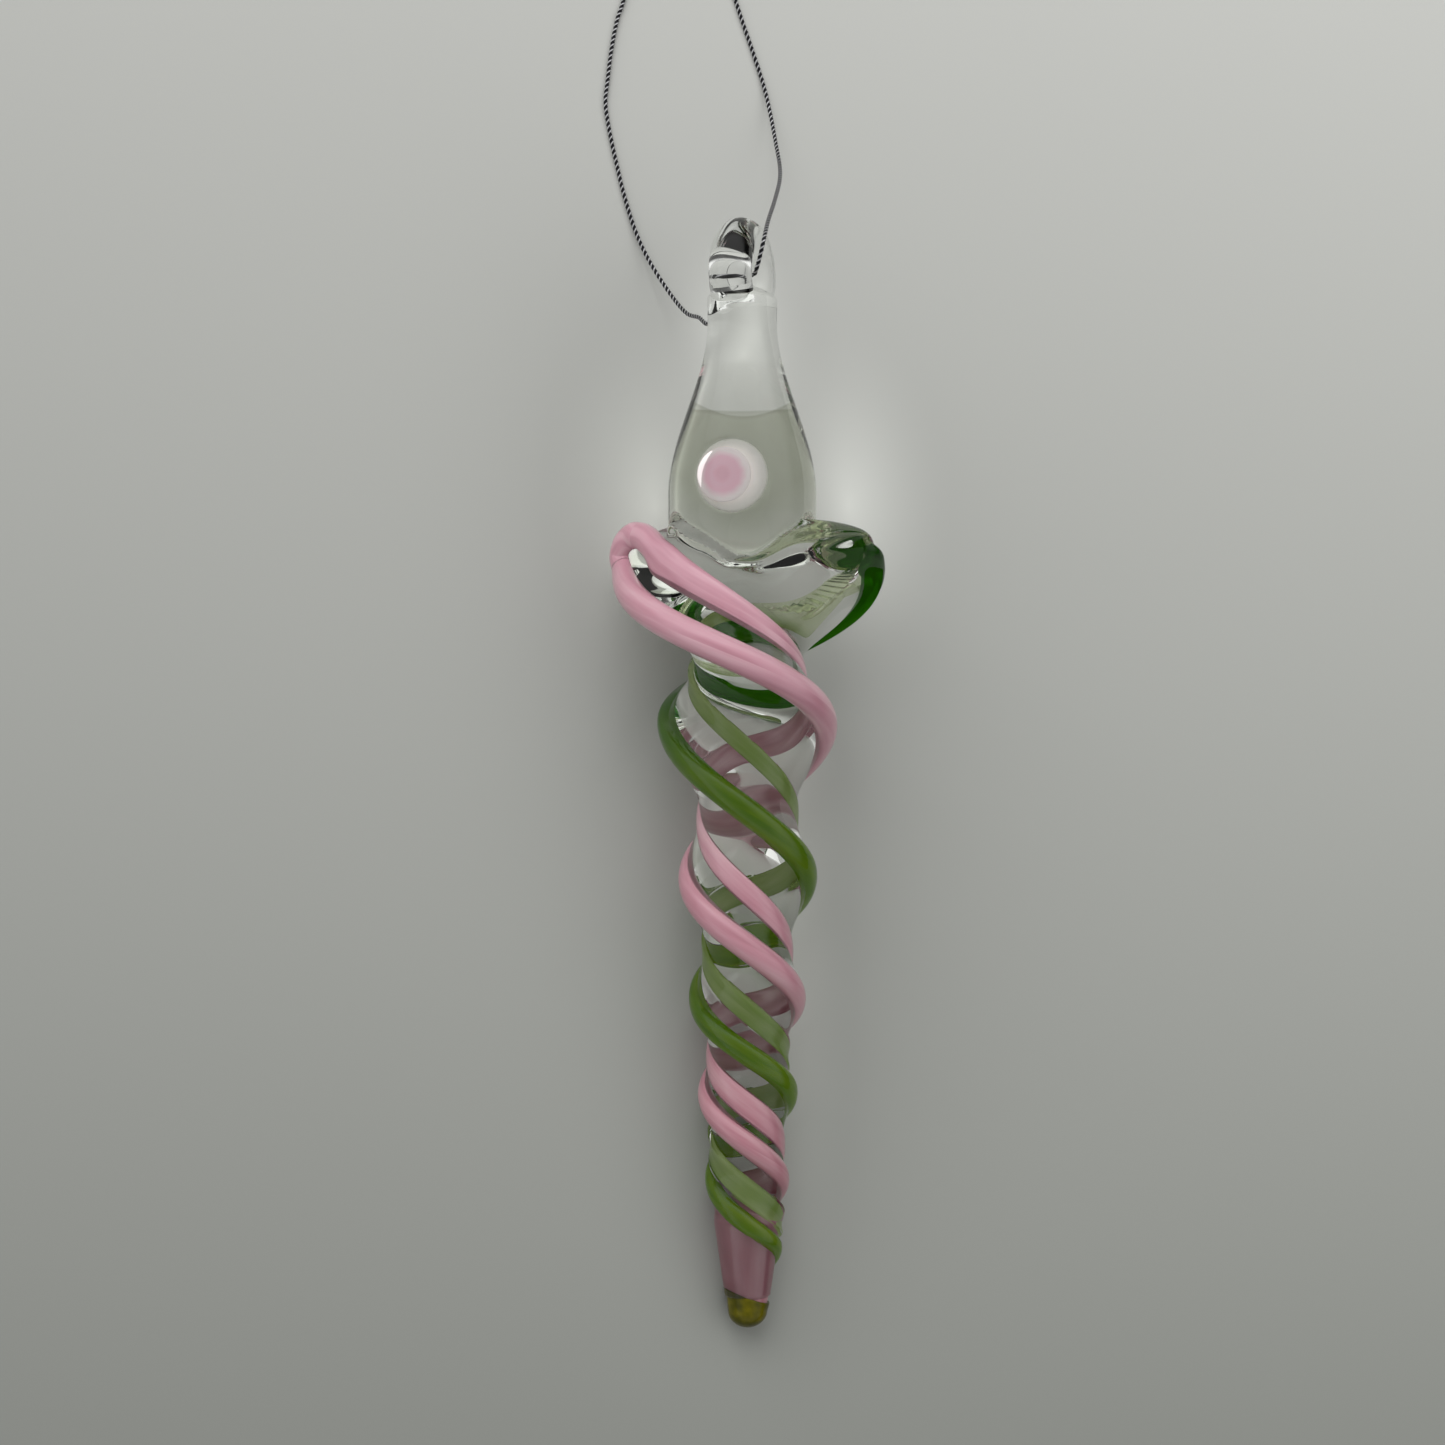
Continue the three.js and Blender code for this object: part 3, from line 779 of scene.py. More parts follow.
@dataclass(frozen=True)
class FloorPaper(Finish):
    """Pale grey paper, with a painted falloff of the light, darker towards the tip's end and to the left, and painted
    pools of the light that glass gathers on it.

    Attributes:
        colours: at the tip's end and at the eye's end, the painted falloff of the light.
        span: Y of those ends, metres.
        sideways: growth of its level for each metre to the right, painted falloff of the light.
        painted_pools: middle and radii in metres, and strength, of each painted pool of light.
        roughness: of its surface.
        gloss: level of its reflections.
    """

    name: str = "floor_paper"
    colours: tuple[Colour, Colour] = ((0.235, 0.245, 0.225), (0.60, 0.605, 0.58))
    span: tuple[float, float] = (-0.12, 0.14)
    sideways: float = 0.9
    painted_pools: tuple = (
        ((-0.0067, 0.036, 0.0), (0.016, 0.028, 1.0), 0.75),
        ((0.0205, 0.037, 0.0), (0.016, 0.028, 1.0), 0.75),
        ((0.0062, -0.010, 0.0), (0.013, 0.070, 1.0), 1.2),
        ((0.0062, 0.055, 0.0), (0.013, 0.022, 1.0), 0.7),
    )
    roughness: float = 0.9
    gloss: float = 0.1

    def surface(self, nodes: Nodes) -> Inputs:
        """The shader's inputs."""
        where = nodes.place()
        # Painted falloff of the light: darker towards the tip's end, and towards the left.
        colour = nodes.ramp(nodes.spread(nodes.part(where, "Y"), *self.span), (0.0, 1.0), self.colours)
        level = nodes.maths("MULTIPLY_ADD", nodes.part(where, "X"), self.sideways, 1.0)
        # Painted pools of light that glass would gather on the paper: beside the head, and under the ribbon and head.
        for middle, radii, strength in self.painted_pools:
            painted_pool = nodes.ball(where, middle, radii, "QUADRATIC_SPHERE")
            level = nodes.maths("MULTIPLY_ADD", painted_pool, strength, level)
        scaled = nodes.add("VectorMath", {"Vector": colour, "Scale": level}, operation="SCALE")
        return {"Base Color": scaled.outputs["Vector"], "Roughness": self.roughness, "Specular IOR Level": self.gloss}


CLEAR = ClearGlass()
PINK = OpaqueGlass("pink_finish", ((0.44, 0.20, 0.255), (0.56, 0.29, 0.355), (0.69, 0.46, 0.51)))
DOT_WHITE = DotGlass("dot_white_finish", ((0.90, 0.89, 0.85), (0.90, 0.89, 0.85), (0.78, 0.78, 0.73)))
DOT_PINK = DotGlass("dot_pink_finish", ((0.80, 0.47, 0.56), (0.90, 0.60, 0.69), (0.95, 0.88, 0.87)))
GREEN = InnerGlass(
    "green_finish", passes=(0.36, 0.72, 0.04), density=370.0, face=(0.13, 0.28, 0.006), cloudy=(0.27, 0.41, 0.018),
    cloud=0.8, cloud_start=0.12, cloud_along=(14.0, 36.0), pale_over=(-0.006, 0.014),
    pale_face=(0.035, 0.18, 0.004), painted_glow=0.06,
)
GREEN_THIN = InnerGlass(
    "green_thin_finish", passes=(0.50, 0.72, 0.12), density=90.0, face=(0.27, 0.40, 0.10), cloudy=(0.42, 0.52, 0.22),
    cloud=0.92, cloud_start=0.05, cloud_along=(18.0, 26.0), pale_over=(0.0185, 0.0215),
)
OLIVE = DeepGlass("olive_finish", ((0.04, 0.04, 0.0005), (0.075, 0.07, 0.001), (0.14, 0.12, 0.002)))
THREAD = MetallicThread()


def added(name: str, data: bpy.types.ID) -> bpy.types.Object:
    """A new object of the scene that holds the data.

    Args:
        name: the object's name.
        data: its mesh, camera or lamp.

    Returns:
        The object, linked.
    """
    made = bpy.data.objects.new(name, data)
    bpy.context.scene.collection.objects.link(made)
    return made


def lofted(name: str, rings: Array, along: Array | None = None, crown: Array | None = None) -> bpy.types.Object:
    """A closed smooth mesh through rings of equal point counts, its ends closed to their middles.

    Args:
        name: the object's name.
        rings: rows by sides by 3, in metres in the row frame.
        along: how far along each row lies, in mm, for the UV map "strand". Its other axis runs
            once around.
        crown: rows by sides, a value from 0 to 1 for the attribute "crown".

    Returns:
        The object, at the origin, with its faces outwards.
    """
    rows, sides, _ = rings.shape
    points = np.vstack([rings.reshape(-1, 3), rings[0].mean(0), rings[-1].mean(0)])
    col = np.arange(sides)
    after = (col + 1) % sides
    row = (np.arange(rows - 1) * sides)[:, None]
    quads = np.stack([row + col, row + after, row + sides + after, row + sides + col], -1).reshape(-1, 4)
    first, last = rows * sides, rows * sides + 1
    top = (rows - 1) * sides
    fans = np.vstack([
        np.stack([np.full(sides, first), after, col], -1),
        np.stack([np.full(sides, last), top + col, top + after], -1),
    ])
    triangles = np.vstack([quads[:, [0, 1, 2]], quads[:, [0, 2, 3]], fans])
    corners = points[triangles]
    inside_out = np.einsum("ij,ij->i", corners[:, 0], np.cross(corners[:, 1], corners[:, 2])).sum() < 0
    if inside_out:
        quads, fans = quads[:, ::-1], fans[:, ::-1]
    mesh = bpy.data.meshes.new(name)
    mesh.from_pydata(points.tolist(), [], quads.tolist() + fans.tolist())
    mesh.polygons.foreach_set("use_smooth", np.ones(len(mesh.polygons), bool))
    if along is not None:
        mapped(mesh, along, sides, quads.size)
    if crown is not None:
        values = np.concatenate([crown.ravel(), [crown[0].mean(), crown[-1].mean()]])
        attribute = mesh.attributes.new("crown", "FLOAT", "POINT")
        attribute.data.foreach_set("value", values.astype(np.float32))
    mesh.update()
    return added(name, mesh)


def mapped(mesh: bpy.types.Mesh, along: Array, sides: int, in_quads: int) -> None:
    """Gives a lofted mesh the UV map "strand": mm along it and turns around it.

    The last column's quads run on past one whole turn, so that none of them spans the map.

    Args:
        mesh: the mesh.
        along: how far along each row lies, mm.
        sides: points in a row.
        in_quads: corners that belong to quads, which come first.
    """
    u = np.concatenate([np.repeat(along, sides), [along[0], along[-1]]])
    v = np.concatenate([np.tile(np.arange(sides) / sides, len(along)), [0.5, 0.5]])
    used = np.zeros(len(mesh.loops), np.int32)
    mesh.loops.foreach_get("vertex_index", used)
    uv = np.stack([u[used], v[used]], -1)
    quads = uv[:in_quads].reshape(-1, 4, 2)
    wraps = (quads[..., 1].max(1) - quads[..., 1].min(1)) > 0.5
    quads[wraps, :, 1] += np.where(quads[wraps, :, 1] < 0.5, 1.0, 0.0)
    mesh.uv_layers.new(name="strand").data.foreach_set("uv", uv.astype(np.float32).ravel())


def carried(centres: Array, outs: Array, high: Array, wide: Array, sides: int) -> Array:
    """Elliptical sections carried along a path.

    Each ring lies square to the path, its first point towards the outward direction:
    centre + high cos t · out + wide sin t · along × out.

    Args:
        centres: points of the path.
        outs: an outward direction at each.
        high: half height of the section towards its outward direction, at each point or by side.
        wide: half width across it, the same.
        sides: points in a ring.

    Returns:
        Rows by sides by 3.
    """
    along = np.gradient(centres, axis=0)
    along /= np.linalg.norm(along, axis=1, keepdims=True)
    outs = outs - along * np.einsum("ij,ij->i", outs, along)[:, None]
    outs /= np.linalg.norm(outs, axis=1, keepdims=True)
    across = np.cross(along, outs)
    t = round_angles(sides)
    high, wide = (np.asarray(half, float).reshape(len(centres), -1) for half in (high, wide))
    return (
        centres[:, None, :] + (high * np.cos(t))[..., None] * outs[:, None, :]
        + (wide * np.sin(t))[..., None] * across[:, None, :]
    )


def dressed(piece: bpy.types.Object, finish: Finish, slot: str, *nodes: str) -> None:
    """Gives a piece its finish, hangs it from the root and hides the CAD nodes that it stands for.

    Args:
        piece: the new object.
        finish: what it is made of.
        slot: the record's material slot; not used.
        nodes: the CAD nodes that it replaces.
    """
    piece.data.materials.append(bpy.data.materials.get(finish.name) or finish.material())
    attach(piece, "root")
    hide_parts(*nodes)
    LOG.info("%s: %d faces", piece.name, len(piece.data.polygons))


@dataclass(frozen=True)
class Studio:
    """Camera, floor, lamps and world.

    Attributes:
        distance: from the camera to the middle of the glass, mm, and aim where it looks on it.
        clip: nearest and farthest thing that it sees, metres.
        floor_size: side of the floor, metres.
        lights: name, direction from the glass, distance, size and power of each lamp, metres and watts.
        room: cosine to the viewer and brightness of each of the room's levels.
        room_white: red, green and blue of that brightness.
        room_level: brightness of the whole room, and room_tilt the share of it that is more
            beyond the eye and less beyond the tip.
    """

    distance: float = 405.4
    lens: float = 80.0
    sensor: float = 36.0
    clip: tuple[float, float] = (0.01, 20.0)
    aim: tuple[float, float] = (-3.156, -25.768)
    floor_size: float = 3.0
    lights: tuple = (
        ("lamp_beyond", (-0.25, 0.75, 0.8), 1.0, 0.9, 5.5),
        ("lamp_side", (0.9, -0.1, 0.7), 1.0, 0.9, 1.0),
    )
    room: tuple = ((0.0, 0.05), (0.25, 0.75), (0.6, 0.85), (0.85, 0.45), (1.0, 0.2))
    room_white: Colour = (1.0, 1.0, 0.99)
    room_level: float = 0.95
    room_tilt: float = 0.4

    def camera(self) -> None:
        """The camera looks straight at the glass's own XY plane, from the photograph's distance."""
        data = bpy.data.cameras.new("camera")
        data.lens, data.sensor_width = self.lens, self.sensor
        data.clip_start, data.clip_end = self.clip
        matrix = np.eye(4)
        matrix[:3, :3] = POSE.turn()
        matrix[:3, 3] = POSE.place(np.array([*self.aim, self.distance]))
        made = added("camera", data)
        made.matrix_world = Matrix(matrix.tolist())
        bpy.context.scene.camera = made

    def floor(self) -> None:
        """A square of paper under the middle of the glass."""
        half = self.floor_size / 2
        mesh = bpy.data.meshes.new("floor")
        mesh.from_pydata([(-half, -half, 0), (half, -half, 0), (half, half, 0), (-half, half, 0)], [], [(0, 1, 2, 3)])
        mesh.materials.append(FloorPaper().material())
        added("floor", mesh)

    def lamps(self) -> None:
        """One soft lamp beyond the eye's end, and one weaker to the side."""
        for name, towards, away, size, power in self.lights:
            direction = Vector((POSE.turn() @ np.array(towards, float)).tolist()).normalized()
            data = bpy.data.lights.new(name, "AREA")
            data.size, data.energy = size, power
            made = added(name, data)
            made.location = direction * away
            made.rotation_euler = direction.to_track_quat("Z", "Y").to_euler()
            made.visible_glossy = made.visible_transmission = False

    def world(self) -> None:
        """A soft room: dark round the viewer over the object and low down, brighter beyond the eye.

        Its level is a ramp of the cosine to the viewer, times 1 + room_tilt times the cosine to the eye.
        """
        world = bpy.data.worlds.new("room")
        world.use_nodes = True
        nodes = Nodes(world.node_tree)
        where, turn = nodes.add("TexCoord").outputs["Generated"], POSE.turn()
        positions, levels = zip(*self.room)
        colours = [tuple(level * share for share in self.room_white) for level in levels]
        colour = nodes.ramp(nodes.along(where, turn[:, 2]), positions, colours)
        top = nodes.along(where, turn[:, 1])
        level = nodes.maths("MULTIPLY_ADD", top, self.room_level * self.room_tilt, self.room_level)
        shell = nodes.add("Background", {"Color": colour, "Strength": level})
        nodes.add("OutputWorld", {"Surface": shell.outputs["Background"]})
        bpy.context.scene.world = world

    def build(self) -> None:
        """Makes them all."""
        self.camera()
        self.floor()
        self.lamps()
        self.world()
        bpy.context.scene.view_settings.view_transform = "Standard"
        LOG.info("studio: camera, floor, lamps and world")


STUDIO = Studio()


@dataclass(frozen=True)
class Head:
    """The clear head with its lens, and the bent eye on its neck."""

    length: float = 27.6
    diameter: float = 18.8
    bulge: float = 7.0
    shift: float = -0.65
    neck_diameter: float = 8.4
    flare_from: float = 2.2
    flare_to: float = 24.8
    neck_depth: float = 11.8
    neck_fade: float = 9.0
    neck_dome: float = 1.3
    eye_rod: float = 5.4
    eye_hole: float = 3.7
    eye_height: float = 3.1
    eye_half_sweep: float = 125.0
    eye_turn: float = 20.0
    eye_rows: int = 73
    eye_sides: int = 40
    dot_height: float = 4.9
    dot_side: float = -9.5
    lens_diameter: float = 9.6
    lens_rise: float = 1.3

    def radius(self, height: Array) -> Array:
        """Half width at a height over the shoulder."""
        swell = smoothstep(self.length - np.asarray(height, float), self.flare_from, self.flare_to)
        return 0.5 * (self.neck_diameter + (self.diameter - self.neck_diameter) * swell)

    def extra_depth(self, height: Array) -> Array:
        """How much deeper than wide the neck is, on each side."""
        fade = 1.0 - smoothstep(self.length - np.asarray(height, float), 0.0, self.neck_fade)
        return 0.5 * (self.neck_depth - self.neck_diameter) * fade

    def section(self, y: Array, turned: Array, centre: Array) -> Array:
        """Radius from a centre on X out to the head's elliptical section, at a turned angle.

        The section is scaled by √(1 - t²) through the bulge below the shoulder and the dome over
        the neck. The ray from the centre meets the ellipse at the larger root of a quadratic.

        Args:
            y: height over the shoulder.
            turned: direction of the ray from +X to +Z, in radians.
            centre: X of the ray's start.

        Returns:
            The radius, 0 where the head has ended.
        """
        height = np.clip(y, 0.0, self.length)
        below = np.clip(-y / self.bulge, 0.0, 1.0)
        above = np.clip((y - self.length) / self.neck_dome, 0.0, 1.0)
        shrink = np.sqrt(np.maximum(1.0 - below**2 - above**2, 1e-6))
        wide = self.radius(height) * shrink
        deep = (self.radius(height) + self.extra_depth(height)) * shrink
        t = turned - math.radians(self.eye_turn)
        offset = centre - self.shift
        ox = offset * math.cos(math.radians(self.eye_turn)) / wide
        oz = -offset * math.sin(math.radians(self.eye_turn)) / deep
        dx, dz = np.cos(t) / wide, np.sin(t) / deep
        a, b, c = dx**2 + dz**2, ox * dx + oz * dz, ox**2 + oz**2 - 1.0
        root = np.maximum(b**2 - a * c, 0.0)
        return np.maximum((-b + np.sqrt(root)) / a, 1e-3)

    def dot_axis(self) -> Array:
        """Direction in which the dot faces."""
        a = math.radians(self.dot_side)
        return np.array([math.sin(a), 0.0, math.cos(a)])

    def dot_point(self, depth: float, shift: float = 0.0) -> Array:
        """A point of the dot's axis, proud of the head's surface by depth and shifted to its right.

        Args:
            depth: how far proud, mm.
            shift: how far to the right, mm.

        Returns:
            The point.
        """
        a = math.radians(self.dot_side)
        right = np.array([math.cos(a), 0.0, -math.sin(a)])
        start = np.array([self.shift, self.dot_height, 0.0])
        return start + self.dot_axis() * (self.radius(self.dot_height) + depth) + right * shift

    def lens(self, points: Array) -> Array:
        """How far the lens lifts points of the head's surface: a cap, rise · (1 - (d / r)²), soft at its rim.

        Args:
            points: of the head's surface, mm.

        Returns:
            The lift of each, mm.
        """
        away = points - self.dot_point(0.0)
        depth = away @ self.dot_axis()
        aside = np.sqrt(np.maximum((away**2).sum(-1) - depth**2, 0.0))
        share = np.clip(1.0 - (aside / (0.5 * self.lens_diameter)) ** 2, 0.0, 1.0)
        front = smoothstep(depth, -4.0, -2.0)
        return self.lens_rise * smoothstep(share, -0.25, 1.0) * (share > 0) * front

    def hole(self) -> Array:
        """The middle of the eye's hole."""
        return np.array([self.shift, self.length + self.eye_height, 0.0])

    def eye_rings(self) -> Array:
        """The eye's rod: round sections on an arc about the hole."""
        bend = 0.5 * (self.eye_hole + self.eye_rod)
        turn = math.radians(self.eye_turn)
        deep = np.array([-math.sin(turn), 0.0, math.cos(turn)])
        up = np.array([0.0, 1.0, 0.0])
        a = np.radians(np.linspace(-self.eye_half_sweep, self.eye_half_sweep, self.eye_rows))
        outs = np.sin(a)[:, None] * deep + np.cos(a)[:, None] * up
        rod = np.full(len(a), 0.5 * self.eye_rod)
        return carried(self.hole() + bend * outs, outs, rod, rod, self.eye_sides)


HEAD = Head()


@dataclass(frozen=True)
class Tip:
    """The solid pink cone and the olive drop that closes it."""

    length: float = 11.6
    top_diameter: float = 8.4
    end_diameter: float = 5.0
    drop_length: float = 2.2
    drop_rim: float = 1.9
    gap: float = 0.3
    dome: float = 3.4
    slant: float = 1.0
    slant_reach: float = 1.5
    sides: int = 48

    def radius(self, below: Array) -> Array:
        """Radius at a distance below the cone's top."""
        return 0.5 * (self.top_diameter + (self.end_diameter - self.top_diameter) * below / self.length)

    def turned(self, name: str, radii: Array, below: Array) -> bpy.types.Object:
        """Turns a profile about the glass's axis, and slants it near the cone's end.

        Args:
            name: the object's name.
            radii: of the profile's points.
            below: their distances below the cone's top.

        Returns:
            The mesh.
        """
        t = round_angles(self.sides)
        lower = self.slant * bell(below - self.length + self.drop_rim, self.slant_reach)
        y = -(RIBBON.length + self.gap + below[:, None] + lower[:, None] * np.cos(t))
        rings = np.stack([radii[:, None] * np.cos(t), y, radii[:, None] * np.sin(t)], -1)
        return lofted(name, POSE.place(rings), below - below[0])

    def cone(self) -> bpy.types.Object:
        """The cone, rounded over at its top and its end."""
        end = self.length - self.drop_rim
        a = np.linspace(0.0, 0.5 * math.pi, 12)
        top = (self.radius(np.zeros(12)) - self.gap * (1.0 - np.sin(a))) * np.sin(0.02 + 0.98 * a)
        down = np.linspace(0.3, end, 30)
        wall = self.radius(np.array(end)) - self.gap
        round_end = wall * np.cos(a)[1:-1]
        radii = np.concatenate([top, self.radius(down) - self.gap * (down / end) ** 4, round_end])
        below = np.concatenate([0.2 - self.dome * np.cos(a), down, end + self.drop_rim * np.sin(a)[1:-1]])
        return self.turned("tip_cone_glass", radii, below)

    def drop(self) -> bpy.types.Object:
        """The drop, from its rim round the cone to its rounded end."""
        rim = self.length - self.drop_rim
        a = np.linspace(0.0, 0.5 * math.pi, 16)[1:-1]
        side = self.radius(np.array(self.length))
        wall = np.linspace(rim, self.length, 8)
        radii = np.concatenate([[0.3 * side, 0.85 * side], self.radius(wall), side * np.cos(a)])
        below = np.concatenate([[rim - 0.1, rim - 0.08], wall, self.length + self.drop_length * np.sin(a)])
        return self.turned("tip_drop_glass", radii, below)

    def build(self) -> None:
        """Makes both."""
        dressed(self.cone(), PINK, "pink_glass", "tip_cone")
        dressed(self.drop(), OLIVE, "olive_glass", "tip_drop")


TIP = Tip()


@dataclass(frozen=True)
class Strand:
    """A coloured strand: thick along an edge of the ribbon, and thin along the face beside it.

    The two are one hairpin, which turns over at the ear.

    Attributes:
        hue: its colour and side.
        bend: points given from one over the ear to the other, mm.
        bend_wide: half the width of its section there, mm, and bend_high half the height.
        bend_from: drop above which the section is the bend's own, mm.
        edge_from: drop from which the thick one keeps to the edge, mm, as the thin one does to
            the face from face_from on.
        overrun: how far the thick one runs on past the ribbon's foot, mm.
        face_stop: how far above the foot the thin one ends, mm.
        skin: clear glass over it, mm; none leaves it proud of the ribbon.
        start: drop from which the clear glass rises over it, mm.
        cap: length over which the thick one's start is rounded off, mm.
        ends: the same for the thick one's end and for the thin one's start and end, mm.
        ear_deepening: growth of the thick one's half height at ear_at, over ear_length, mm.
        edge_broad: factor of the thick one's width.
        face_top: growth of the thin one's half width at the ear, over face_top_length, mm, with
            face_high_top for its half height.
        face_wide: its half width on the face, mm, with face_widening more at the foot.
        slants_from: drops between which its slant comes to count, mm.
    """

    hue: Hue
    bend: tuple
    bend_wide: float = 1.85
    bend_high: float = 1.75
    bend_from: float = 3.6
    edge_from: float = 6.2
    face_from: float = 6.0
    overrun: float = 0.0
    face_stop: float = 3.0
    skin: float = 0.0
    start: float = 0.0
    cap: float = 1.0
    ends: tuple[float, float, float] = (1.0, 1.6, 3.0)
    ear_deepening: float = 0.55
    edge_broad: float = 1.0
    ear_at: float = 6.0
    ear_length: float = 10.0
    face_top: float = 1.55
    face_top_length: float = 12.0
    face_wide: float = 0.72
    face_widening: float = 0.55
    face_high: float = 0.62
    face_high_top: float = 0.75
    slants_from: tuple[float, float] = (12.0, 20.0)
    sides: int = 26
    rows: int = 420

    @property
    def word(self) -> str:
        """Its colour's name."""
        return self.hue.name.lower()

    @property
    def last(self) -> float:
        """The drop at which the thick one ends."""
        return RIBBON.length + self.overrun

    def edge_high(self, drop: Array) -> Array:
        """Half the thick strand's height, out from the axis: deeper at the ear."""
        near = bell(drop - self.ear_at, self.ear_length)
        return RIBBON.edge_radius(drop) * self.thinning(drop) + self.ear_deepening * near

    def edge_wide(self, drop: Array) -> Array:
        """Half the thick strand's width."""
        return self.edge_broad * RIBBON.edge_radius(drop) * self.thinning(drop)

    def thinning(self, drop: Array) -> Array:
        """1 down to the foot, then down to 0 over the overrun.

        Args:
            drop: distance down.

        Returns:
            The share of its full size.
        """
        if not self.overrun:
            return np.ones_like(drop)
        return 1.0 - smoothstep(drop, RIBBON.length, self.last + 1.2)

    def edge_out(self, drop: Array) -> Array:
        """From the axis to the middle of the thick strand, which closes in on the cone past the foot.

        Args:
            drop: distance down.

        Returns:
            The distance from the axis, mm.
        """
        ear = 1.0
        if self.hue is Hue.GREEN:
            ear = RIBBON.grown(drop, self.hue.value, RIBBON.turned(drop, self.hue.value))
        on_ribbon = RIBBON.reach(drop) * ear - self.edge_high(drop)
        on_cone = TIP.radius(drop - RIBBON.length) + 0.25 * self.edge_high(drop)
        past = smoothstep(drop, RIBBON.length - 1.0, RIBBON.length + 3.5)
        return on_ribbon + (on_cone - on_ribbon) * past

    def face_angle(self, drop: Array) -> Array:
        """Where the thin strand lies: it leaves the edge at the ear and lags behind it."""
        return self.hue.value - RIBBON.face_lag * (1.0 - np.exp(-np.asarray(drop) / RIBBON.face_lag_length))

    def face_half_width(self, drop: Array) -> Array:
        """Half the thin strand's width: a broad tongue at the ear, and wider again towards the foot."""
        tongue = self.face_top * bell(drop, self.face_top_length)
        return self.face_wide + self.face_widening * RIBBON.share(drop) + tongue

    def face_half_height(self, drop: Array) -> Array:
        """Half the thin strand's height."""
        return self.face_high + self.face_high_top * bell(drop, self.face_top_length)

    def face_out(self, drop: Array) -> Array:
        """From the axis to the middle of the thin strand, sunk into the face."""
        return RIBBON.section(drop, self.face_angle(drop)) - RIBBON.face_sunk * self.face_half_height(drop)

    def level_cut(self, drop: Array, out: Array, lag: Array) -> Array:
        """How many times wider a strand is in a level cut than across its own slanting path.

        It is √(1 + (r dθ/dy)²) for the turn θ of a strand at a radius r, and 1 at the ears.

        Args:
            drop: distance down.
            out: its distance from the axis, mm.
            lag: its lag behind the edge, in degrees.

        Returns:
            The factor of its width.
        """
        step = 0.05
        above, below = (RIBBON.turned(at, self.hue.value - lag) for at in (drop - step, drop + step))
        return np.hypot(1.0, out * smoothstep(drop, *self.slants_from) * (below - above) / (2.0 * step))

    def closing(self, centres: Array, first: float, last: float) -> tuple[Array, Array]:
        """Closes a strand at its ends, by √(1 - t²) of its size.

        Args:
            centres: points of its path.
            first: length over which the start closes.
            last: length over which the end closes.

        Returns:
            The length along the path to each point, and the share of its size that it has there.
        """
        length = lengths_along(centres)
        head = np.clip(1.0 - length / first, 0.0, 1.0)
        tail = np.clip(1.0 - (length[-1] - length) / last, 0.0, 1.0)
        return length, np.sqrt(np.maximum(1.0 - head**2, 1e-4)) * np.sqrt(np.maximum(1.0 - tail**2, 1e-4))

    def swept(
        self, side: str, centres: Array, outs: Array, high: Array, wide: Array, ends: tuple[float, float]
    ) -> bpy.types.Object:
        """Carries a strand's section along its path and closes its ends.

        Args:
            side: edge or face.
            centres: points of the path.
            outs: an outward direction at each.
            high: half the section's height at each.
            wide: half its width at each.
            ends: lengths over which the start and the end close.

        Returns:
            The strand, under its skin.
        """
        length, closed = self.closing(centres, *ends)
        high, wide = (half * closed * (1.0 - self.skin / np.maximum(half, 0.3)) for half in (high, wide))
        rings = carried(centres, outs, high, wide, self.sides)
        return lofted(f"{self.word}_{side}_strand_glass", POSE.place(rings), length)

    def drops(self, start: float, end: float) -> Array:
        """Drops from the start to the end, closer together at the start and at the fast twist below."""
        share = np.linspace(0.0, 1.0, self.rows)
        return start + (end - start) * (0.75 * share**0.85 + 0.25 * share**2.2)

    def turned_over(self, down: Array, join: float) -> tuple[Array, Array]:
        """Leads a path over the ear from the other strand.

        Args:
            down: the path's points from the join's drop on.
            join: the drop at which the turn ends.

        Returns:
            The whole path's points, and at each the share of the turn's own section, from 1 at
            the turn's middle to 0 at its end.
        """
        middle = len(self.bend) // 2
        near = np.array(self.bend, float)
        if np.linalg.norm(near[0] - down[0]) < np.linalg.norm(near[-1] - down[0]):
            near = near[::-1]
        lead = smooth_curve(np.vstack([near[middle - 1:], down[:40:8]]), 0.12)
        lead = lead[: np.argmin(np.linalg.norm(lead - down[0], axis=1))]
        own = np.concatenate([1.0 - smoothstep(-lead[:, 1], self.bend_from, join), np.zeros(len(down))])
        return np.vstack([lead, down]), own

    def edge(self) -> bpy.types.Object:
        """The thick strand."""
        drop = self.drops(self.edge_from, self.last)
        centres, own = self.turned_over(RIBBON.point(drop, self.hue.value, self.edge_out(drop)), self.edge_from)
        drop = -centres[:, 1]
        high = self.edge_high(drop) * (1.0 - own) + self.bend_high * own
        wide = self.edge_wide(drop) * (1.0 - own) + self.bend_wide * own
        return self.swept("edge", centres, centres * np.array([1.0, 0.0, 1.0]), high, wide, (self.cap, self.ends[0]))

    def face(self) -> bpy.types.Object:
        """The thin strand, a little smaller than the thick one where both go over the ear."""
        drop = self.drops(self.face_from, RIBBON.length - self.face_stop)
        centres = RIBBON.point(drop, self.face_angle(drop), self.face_out(drop))
        centres, own = self.turned_over(centres, self.face_from)
        drop, own_size = -centres[:, 1], 0.97 * own
        high = self.face_half_height(drop) * (1.0 - own) + self.bend_high * own_size
        wide = self.face_half_width(drop) * (1.0 - own) + self.bend_wide * own_size
        on_face = np.maximum(drop, 5.0)
        outs = RIBBON.facing(on_face, self.face_angle(on_face))
        return self.swept("face", centres, outs, high, wide, self.ends[1:])

    def build(self) -> None:
        """Makes both, in this colour's finishes."""
        thick, thin = (PINK, PINK) if self.hue is Hue.PINK else (GREEN, GREEN_THIN)
        dressed(self.edge(), thick, f"{self.word}_glass", f"{self.word}_edge_strand")
        dressed(self.face(), thin, f"{self.word}_glass", f"{self.word}_face_strand")


